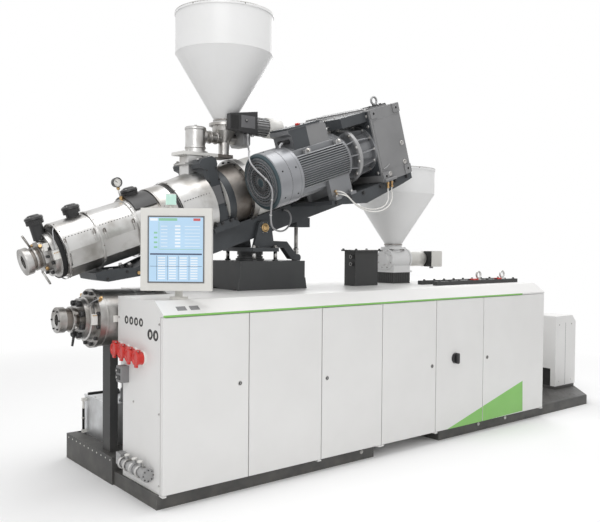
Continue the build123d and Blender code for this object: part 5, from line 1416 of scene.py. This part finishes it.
    def _pedestal(self) -> None:
        """Bolts of the pedestal, and the threads of the adjusting spindle."""
        base = self.mould("pedestal_bolts", "frame", PLAN)
        for x, y in product((0.990, 1.653), (-0.190, -0.150, 0.150)):
            base.bolt(Finish.BLACK, (x, y, 1.304), OUT, 0.010)
        x, y = self.size.spindle
        base.rod(Finish.MACHINED, (x, y, 1.615), (x, y, 1.800), 0.0156, sides=24)
        for z in (1.640 + 0.0075 * k for k in range(22)):
            base.turned(Finish.MACHINED, (x, y, z), OUT, [(0, 0.0154), (0.002, 0.0166), (0.004, 0.0154)], 24)
        base.finish()


@dataclass(frozen=True)
class HopperSize:
    """Place and heights of a hopper."""

    label: str
    body: str
    x: float
    rim: float
    shoulder: float
    cone: float


@dataclass(frozen=True)
class FeederSize:
    """Places and radii on both feeders and hoppers."""

    hoppers: tuple[HopperSize, ...] = (
        HopperSize("upper", "coextruder", 0.984, 3.446, 3.130, 2.630),
        HopperSize("lower", "frame", 2.903, 2.377, 2.137, 1.672),
    )
    rivet_radius: float = 0.385035
    upper_x: float = 0.984
    pipe_x: float = 0.726
    inverter_front: float = -0.1715
    lower_x: float = 2.903
    lower_axis: Point = (0.0, 0.0, 1.528)


class Feeders(Assembly):
    """Hopper rims and seams, feeder flanges, motors, glands and fins."""

    size = FeederSize()

    def build(self) -> None:
        """Builds the dressing of both feeders."""
        for spec in self.size.hoppers:
            self._hopper(spec)
        self._upper_feeder()
        self._upper_inverter()
        self._upper_motor()
        axis = frame_of(self.size.lower_axis)
        self._lower_feeder(axis)
        self._lower_inverter(axis)
        self._lower_motor(axis)

    def _hopper(self, spec: HopperSize) -> None:
        """Rolled rim, weld seam, outlet clamp and rivets of a hopper."""
        mould = self.mould(f"hopper_{spec.label}_rim", spec.body, PLAN)
        rim = [(-0.022, 0.3805), (-0.021, 0.3845), (-0.004, 0.3865), (-0.0005, 0.3840), (-0.0005, 0.3760)]
        seam = [(-0.004, 0.3785), (0, 0.3815), (0.004, 0.3805)]
        clamp = [(-0.014, 0.082), (-0.012, 0.087), (-0.002, 0.087), (0, 0.0825)]
        mould.turned(Finish.MACHINED, (spec.x, 0, spec.rim), OUT, rim, 96)
        mould.turned(Finish.HOPPER, (spec.x, 0, spec.shoulder), OUT, seam, 96)
        mould.turned(Finish.MACHINED, (spec.x, 0, spec.cone), OUT, clamp, 48)
        for degrees in range(20, 380, 60):
            ends = (polar(self.size.rivet_radius + rise, degrees) for rise in (0, 0.0012))
            start, end = ((spec.x + dx, dy, spec.rim - 0.012) for dx, dy in ends)
            mould.rod(Finish.BURNT, start, end, 0.005, sides=10)
        mould.finish()

    def _upper_feeder(self) -> None:
        """Flange bolts, white plate and clamps of the sight pipe."""
        x = self.size.pipe_x
        mould = self.mould("upper_feeder_fittings", "coextruder", PLAN)
        for degrees in range(22, 382, 45):
            dx, y = polar(0.100, degrees)
            mould.bolt(Finish.MACHINED, (self.size.upper_x + dx, y, 2.579), (0, 0, -1), 0.008)
            dx, y = polar(0.086, degrees)
            mould.bolt(Finish.MACHINED, (x + dx, y, 2.360), OUT, 0.006)
        mould.box(Finish.CERAMIC, (0.5705, -0.0905, 2.3245), (0.872, 0.0905, 2.3508), 0.002)
        mould.box(Finish.BURNT, (0.874, -0.0908, 2.3245), (1.0105, 0.0908, 2.3506), 0.002)
        collar = [(-0.008, 0.0772), (-0.006, 0.081), (0.006, 0.081), (0.008, 0.0772)]
        for z in (2.39, 2.53):
            mould.turned(Finish.MACHINED, (x, 0, z), OUT, collar, 44)
        lid = [(0, 0.0778), (0.004, 0.074), (0.008, 0.030), (0.012, 0.012), (0.020, 0.012), (0.020, 0)]
        mould.turned(Finish.MACHINED, (x, 0, 2.545), OUT, lid, 40)
        collar = [(-0.006, 0.0425), (-0.004, 0.050), (0.004, 0.050), (0.006, 0.0425)]
        for x in (0.850, 0.905):
            mould.turned(Finish.MACHINED, (x, 0, 2.484), ALONG, collar, 36)
        mould.finish()

    def _upper_inverter(self) -> None:
        """Black shell, ribs, knob and glands of the upper inverter."""
        front = self.size.inverter_front
        shell = self.mould("upper_inverter", "coextruder", PLAN)
        outline = ((0.929, 2.536), (0.929, 2.660), (1.186, 2.698), (1.186, 2.512))
        shell.prism(Finish.BLACK, [(x, front, z) for x, z in outline], (0, 0.0485, 0), 0.003)
        for x in (0.940 + 0.010 * k for k in range(7)):
            shell.box(Finish.RUBBER, (x, front - 0.003, 2.545), (x + 0.004, front + 0.001, 2.650))
        shell.box(Finish.TERMINAL, (1.030, front - 0.002, 2.560), (1.160, front + 0.001, 2.655), 0.002)
        shell.rod(Finish.BLACK, (1.078, front - 0.001, 2.615), (1.078, front - 0.006, 2.615), 0.012, sides=24)
        shell.box(Finish.CERAMIC, (1.076, front - 0.0072, 2.613), (1.080, front - 0.0058, 2.626))
        for x, low, high, radius in ((1.109, 2.497, 2.518, 0.0145), (1.150, 2.500, 2.516, 0.0125)):
            shell.rod(Finish.CASTING, (x, -0.147, low), (x, -0.147, high), radius, sides=6)
        shell.finish()

    def _upper_motor(self) -> None:
        """Fan lid of the upper feeder's motor."""
        fan = self.mould("upper_motor_lid", "coextruder", frame_of((0.0, -0.060, 2.600)))
        lid = [(1.336, 0.0755), (1.337, 0.0812), (1.468, 0.0812), (1.482, 0.0690), (1.4835, 0.0540)]
        fan.turned(Finish.CERAMIC, (0, 0, 0), ALONG, lid, 56)
        self._lid_slots(fan, 1.4848)
        fan.finish()

    @staticmethod
    def _lid_slots(mould: Mould, along: float) -> None:
        """Dark arcs of painted shade in a small motor's air inlet slots."""
        for (ring, radius), k in product(enumerate((0.024, 0.034, 0.044)), range(6)):
            mould.loop(Finish.DARK, (along, 0, 0), ALONG, radius, 0.0026, 60 * k + 15 * ring, 42)

    def _lower_feeder(self, axis: Spot) -> None:
        """Flange bolts, end cap and base ribs of the lower feeder."""
        body = self.mould("lower_feeder_fittings", "frame", axis)
        for degrees in range(0, 360, 45):
            dx, y = polar(0.100, degrees)
            body.bolt(Finish.MACHINED, (self.size.lower_x + dx, 0.093, -y), (0, -1, 0), 0.008)
        body.bolt_circle(Finish.MACHINED, 2.790, -1, 0.086, 8, 0.006, 22)
        body.band(Finish.CASTING, 3.061, 3.076, 0.0882, 0.001)
        body.bolt_circle(Finish.MACHINED, 3.077, 1, 0.078, 8, 0.006, 10)
        body.box(Finish.PLINTH, (2.799, -0.2275, -0.1112), (3.021, -0.1210, 0.1112), 0.002)
        # Thin near-black boxes between the base ribs: painted shade in the gaps.
        for k in range(8):
            out, along = -0.098 + 0.028 * k, 2.815 + 0.024 * k
            body.box(Finish.DARK, (2.798, -0.215, out), (3.022, -0.130, out + 0.004))
            body.box(Finish.DARK, (along, -0.215, 0.1108), (along + 0.004, -0.130, 0.1118))
        body.finish()

    def _lower_inverter(self, axis: Spot) -> None:
        """Black shell, ribs, plate and glands of the lower inverter."""
        shell = self.mould("lower_inverter", "frame", axis)
        shell.box(Finish.BLACK, (3.299, -0.0765, 0.035), (3.4485, 0.0765, 0.1375), 0.006)
        for along in (3.305 + 0.009 * k for k in range(6)):
            shell.box(Finish.RUBBER, (along, -0.066, 0.1372), (along + 0.004, 0.066, 0.1390))
        shell.box(Finish.TERMINAL, (3.365, -0.045, 0.1372), (3.435, 0.050, 0.1385), 0.001)
        shell.rod(Finish.CABLE, (3.400, -0.020, 0.138), (3.400, -0.020, 0.1405), 0.009)
        for along in (3.325, 3.353):
            shell.rod(Finish.CASTING, (along, -0.076, 0.100), (along, -0.092, 0.100), 0.010, sides=6)
        shell.finish()

    def _lower_motor(self, axis: Spot) -> None:
        """Light sleeve and fan lid of the lower feeder's motor."""
        motor = self.mould("lower_motor_lid", "frame", axis)
        sleeve = [(3.168, 0.0705), (3.172, 0.0712), (3.312, 0.0712), (3.312, 0.0705)]
        lid = [(3.3122, 0.0705), (3.314, 0.0758), (3.406, 0.0758), (3.421, 0.0640), (3.4235, 0.050)]
        motor.turned(Finish.CREAM, (0, 0, 0), ALONG, sleeve, 56)
        motor.turned(Finish.CERAMIC, (0, 0, 0), ALONG, lid, 56)
        self._lid_slots(motor, 3.4248)
        motor.finish()


@dataclass(frozen=True)
class ScreenField:
    """A lit field on the operator panel's display, as shares of its size."""

    left: float
    low: float
    right: float
    high: float
    finish: Finish = Finish.SCREEN_WHITE


@dataclass(frozen=True)
class PanelSize:
    """The operator panel's display and its lamp, in metres."""

    width: float = 0.346
    height: float = 0.412
    face: float = 0.117
    rim: float = 0.009
    lamp: Point = (-0.040, 0.2855, 0.080)


class OperatorPanel(Assembly):
    """Screen frame, lit fields, buttons and the signal lamp."""

    size = PanelSize()

    def build(self) -> None:
        """Builds the frame, the fields and the lamp."""
        half_w, half_h, rim = self.size.width / 2, self.size.height / 2, self.size.rim
        mould = self.mould("screen_frame", "panel_body", PANEL)
        for low, high in (
            ((-half_w - rim, -half_h - rim), (half_w + rim, -half_h)),
            ((-half_w - rim, half_h), (half_w + rim, half_h + rim)),
            ((-half_w - rim, -half_h), (-half_w, half_h)),
            ((half_w, -half_h), (half_w + rim, half_h)),
        ):
            mould.box(Finish.TERMINAL, (*low, 0.1146), (*high, 0.1185), 0.001)
        mould.box(Finish.MACHINED, (0.226, 0.050, 0.090), (0.2288, 0.110, 0.104), 0.001)
        mould.finish()
        screen = self.mould("screen_fields", "panel_body", PANEL)
        for field in self._fields():
            low, high = (
                (self.size.width * (across - 0.5), self.size.height * (up - 0.5), self.size.face + out)
                for across, up, out in ((field.left, field.low, -0.0002), (field.right, field.high, 0.0004))
            )
            screen.box(field.finish, low, high)
        screen.finish()
        self._lamp()

    def _lamp(self) -> None:
        """Ribbed signal lamp on top of the panel."""
        spot = frame_of(tuple(PANEL.at(*self.size.lamp)), (0, 0, 1), (0, 1, 0))
        lamp = self.mould("signal_lamp", "panel_body", spot)
        glass = [(0, 0.030), (0.001, 0.0335), (0.066, 0.0335), (0.0712, 0.031), (0.0718, 0)]
        lamp.turned(Finish.LAMP, (0, 0, 0), ALONG, glass, 44)
        for low in (0.016, 0.032, 0.048):
            rib = [(low, 0.0333), (low + 0.002, 0.0342), (low + 0.004, 0.0333)]
            lamp.turned(Finish.LAMP, (0, 0, 0), ALONG, rib, 44)
        lamp.finish()

    @staticmethod
    def _fields() -> list[ScreenField]:
        """Lists the display's fields: header, icon column, tables and footer."""
        fields = [
            ScreenField(0.02, 0.945, 0.16, 0.985),
            ScreenField(0.18, 0.945, 0.52, 0.985, Finish.SCREEN_GREEN),
            ScreenField(0.82, 0.945, 0.95, 0.985, Finish.SCREEN_RED),
            ScreenField(0.02, 0.415, 0.98, 0.440, Finish.SCREEN_INK),
            ScreenField(0.18, 0.500, 0.98, 0.506, Finish.SCREEN_GREEN),
            ScreenField(0.18, 0.500, 0.187, 0.930, Finish.SCREEN_GREEN),
            ScreenField(0.02, 0.235, 0.98, 0.241, Finish.SCREEN_INK),
        ]
        for low in (0.52 + 0.075 * row for row in range(4)):
            fields.append(ScreenField(0.09, low, 0.155, low + 0.028, Finish.SCREEN_GREEN))
        for low in (0.545 + 0.052 * row for row in range(7)):
            fields.append(ScreenField(0.22, low, 0.34, low + 0.008))
            fields.append(ScreenField(0.48, low - 0.008, 0.58, low + 0.018))
            fields.append(ScreenField(0.66, low, 0.94, low + 0.006))
        for left in (0.14 + 0.20 * column for column in range(4)):
            fields.append(ScreenField(left, 0.02, left + 0.006, 0.405, Finish.SCREEN_INK))
            for low in (0.04 + 0.040 * row for row in range(9)):
                fields.append(ScreenField(left + 0.03, low, left + 0.16, low + 0.018))
        return fields


@dataclass(frozen=True)
class PlatformSize:
    """Extent of the chequer tread behind the cabinet."""

    start: float = 4.135
    end: float = 4.985
    front: float = -0.780
    back: float = -0.455
    rear: float = 0.560
    cover_start: float = 4.97
    top: float = 0.098
    pitch: float = 0.036


class Platform(Assembly):
    """Raised chequer pattern, cover seams and the recess, drawn as a near-black box of painted shade."""

    size = PlatformSize()

    def build(self) -> None:
        """Builds the tread pattern and the rear cover's details."""
        self._tread()
        cover = self.mould("rear_cover_details", "frame", PLAN)
        # near-black box: painted shade of the recess in the rear cover
        cover.box(Finish.DARK, (4.9895, -0.388, 0.132), (5.02, -0.052, 0.318))
        cover.box(Finish.TERMINAL, (5.180, -0.4512, 0.135), (5.183, -0.4498, 0.820))
        for z, x in product((0.800, 0.180), (5.060, 5.300)):
            cover.rod(Finish.MACHINED, (x, -0.4498, z), (x, -0.4530, z), 0.008, 0.006, 16)
        cover.finish()

    def _tread(self) -> None:
        """Raised lozenges that point along and across by turns."""
        size = self.size
        mould = self.mould("tread_pattern", "frame", PLAN)
        columns = int((size.end - size.start) / size.pitch)
        rows = int((size.rear - size.front) / size.pitch)
        low = size.top - 0.0005
        for i, j in product(range(columns), range(rows)):
            x, y = size.start + size.pitch * (i + 0.5), size.front + size.pitch * (j + 0.5)
            if x > size.end - 0.02 or (y > size.back and x > size.cover_start):
                continue
            dx, dy = (0.012, 0.004) if (i + j) % 2 else (0.004, 0.012)
            outline = [(x - dx, y, low), (x, y - dy, low), (x + dx, y, low), (x, y + dy, low)]
            mould.prism(Finish.CHEQUER, outline, (0, 0, 0.0022))
        mould.finish()


@dataclass(frozen=True)
class CordSpec:
    """A cord's name, bore, finish and route."""

    name: str
    diameter: float
    finish: Finish
    route: tuple[Point, ...]


CORDS = (
    CordSpec("feeder_cable", 0.014, Finish.CABLE, (
        (1.109, -0.147, 2.495), (1.109, -0.147, 2.440), (1.088, -0.192, 2.386), (1.024, -0.295, 2.362),
        (0.948, -0.395, 2.345), (0.907, -0.454, 2.268), (0.932, -0.496, 2.208), (0.950, -0.560, 2.158),
        (0.972, -0.618, 2.104), (0.985, -0.640, 2.050), (1.005, -0.612, 1.996), (1.030, -0.562, 1.912),
        (1.054, -0.528, 1.845), (1.088, -0.495, 1.792), (1.168, -0.436, 1.768), (1.290, -0.335, 1.760),
        (1.395, -0.255, 1.770), (1.455, -0.228, 1.800), (1.486, -0.222, 1.850), (1.487, -0.217, 1.898),
        (1.466, -0.197, 1.938), (1.466, -0.158, 1.938),
    )),
    CordSpec("oil_hose_1", 0.010, Finish.CERAMIC, (
        (2.115, -0.690, 2.122), (2.115, -0.690, 2.088), (2.119, -0.694, 2.044), (2.092, -0.699, 1.993),
        (2.030, -0.701, 1.958), (1.935, -0.698, 1.942), (1.830, -0.691, 1.952), (1.748, -0.684, 1.986),
        (1.690, -0.686, 2.030), (1.634, -0.694, 2.062), (1.594, -0.676, 2.073), (1.594, -0.632, 2.073),
    )),
    CordSpec("oil_hose_2", 0.010, Finish.CERAMIC, (
        (2.158, -0.690, 2.134), (2.158, -0.690, 2.096), (2.161, -0.696, 2.048), (2.131, -0.703, 1.992),
        (2.066, -0.709, 1.949), (1.970, -0.709, 1.924), (1.860, -0.702, 1.930), (1.765, -0.698, 1.962),
        (1.704, -0.704, 2.004), (1.649, -0.706, 2.040), (1.607, -0.680, 2.051), (1.607, -0.632, 2.051),
    )),
)


class Cords(Assembly):
    """The feeder's cable and the gearbox's two oil hoses."""

    def build(self) -> None:
        for spec in CORDS:
            curve = bpy.data.curves.new(f"{spec.name}_line", "CURVE")
            curve.dimensions = "3D"
            curve.bevel_depth = spec.diameter / 2
            curve.bevel_resolution = 6
            curve.resolution_u = 8
            curve.use_fill_caps = True
            spline = curve.splines.new("NURBS")
            spline.points.add(len(spec.route) - 1)
            for point, place in zip(spline.points, spec.route):
                point.co = (*place, 1.0)
            spline.order_u = 3
            spline.use_endpoint_u = True
            curve.materials.append(self.library.get(spec.finish))
            piece = linked(f"{spec.name}_line", curve)
            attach(piece, "coextruder")
            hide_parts(spec.name)
            log.info("cord %s of %d points", spec.name, len(spec.route))
        self._ties()

    def _ties(self) -> None:
        """White ties round the feeder cable."""
        mould = self.mould("cable_ties", "coextruder", PLAN)
        for at, axis in (
            ((0.9615, -0.590, 2.130), (0.3, -0.75, -0.6)), ((1.008, -0.604, 1.985), (0.2, 0.4, -0.9)),
            ((1.043, -0.544, 1.876), (0.2, 0.4, -0.9)),
        ):
            mould.loop(Finish.CERAMIC, at, axis, 0.008, 0.0022)
        mould.finish()


NODE_FINISHES: dict[Finish, tuple[str, ...]] = {
    Finish.CABINET: (
        "machine_housing", "roof_cover", "end_panel", "rear_cover", "door_1", "door_2", "door_3", "door_4",
        "door_5", "door_6",
    ),
    Finish.HOPPER: ("hopper_lower", "hopper_upper", "feeder_lower"),
    Finish.CREAM: ("drive_housing", "operator_panel", "panel_post", "sight_tube", "feeder_motor_lower"),
    Finish.PLINTH: ("front_plinth", "rear_plinth", "tank_base", "roof_rails", "rear_stand", "barrel_support"),
    Finish.CAST: ("beam", "feed_block", "trunnion", "adjusting_arm"),
    Finish.PEDESTAL: ("pedestal", "lift_unit"),
    Finish.MOTOR: ("main_motor",),
    Finish.SILVER: ("fan_cover",),
    Finish.GEARBOX: ("gearbox", "cable_connector", "tank_pump"),
    Finish.SHEET: ("barrel_covers", "feed_chute", "feeder_upper"),
    Finish.MACHINED: (
        "lower_barrel", "lower_die_head", "upper_die_head", "spindle", "ball_valve", "lifting_eyes",
    ),
    Finish.CASTING: ("valve_block", "feeder_motor_upper"),
    Finish.TANK: ("oil_tank",),
    Finish.BLACK: ("main_switch", "valve_lever", "cooling_blowers"),
    Finish.RED: ("power_sockets", "socket_lids"),
    Finish.GREEN: ("green_stripe",),
    Finish.CHEQUER: ("tread_grating",),
    Finish.SCREEN: ("panel_screen",),
    Finish.CABLE: ("feeder_cable", "oil_hose_1", "oil_hose_2"),
}


def dress_nodes(library: MaterialLibrary) -> None:
    """Gives each carried CAD node its finish."""
    for finish, names in NODE_FINISHES.items():
        for name in names:
            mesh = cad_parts[name].data
            mesh.materials.clear()
            mesh.materials.append(library.get(finish))
            log.info("dressed %s as %s", name, finish.value)


def main() -> None:
    """Builds the scene."""
    library = MaterialLibrary()
    Stage().build()
    Cords(library).build()
    dress_nodes(library)
    for region in (Cabinet, EndFace, LowerExtruder, UpperBarrel, Drive, Feeders, OperatorPanel, Platform):
        region(library).build()


if __name__ == "__main__":
    main()
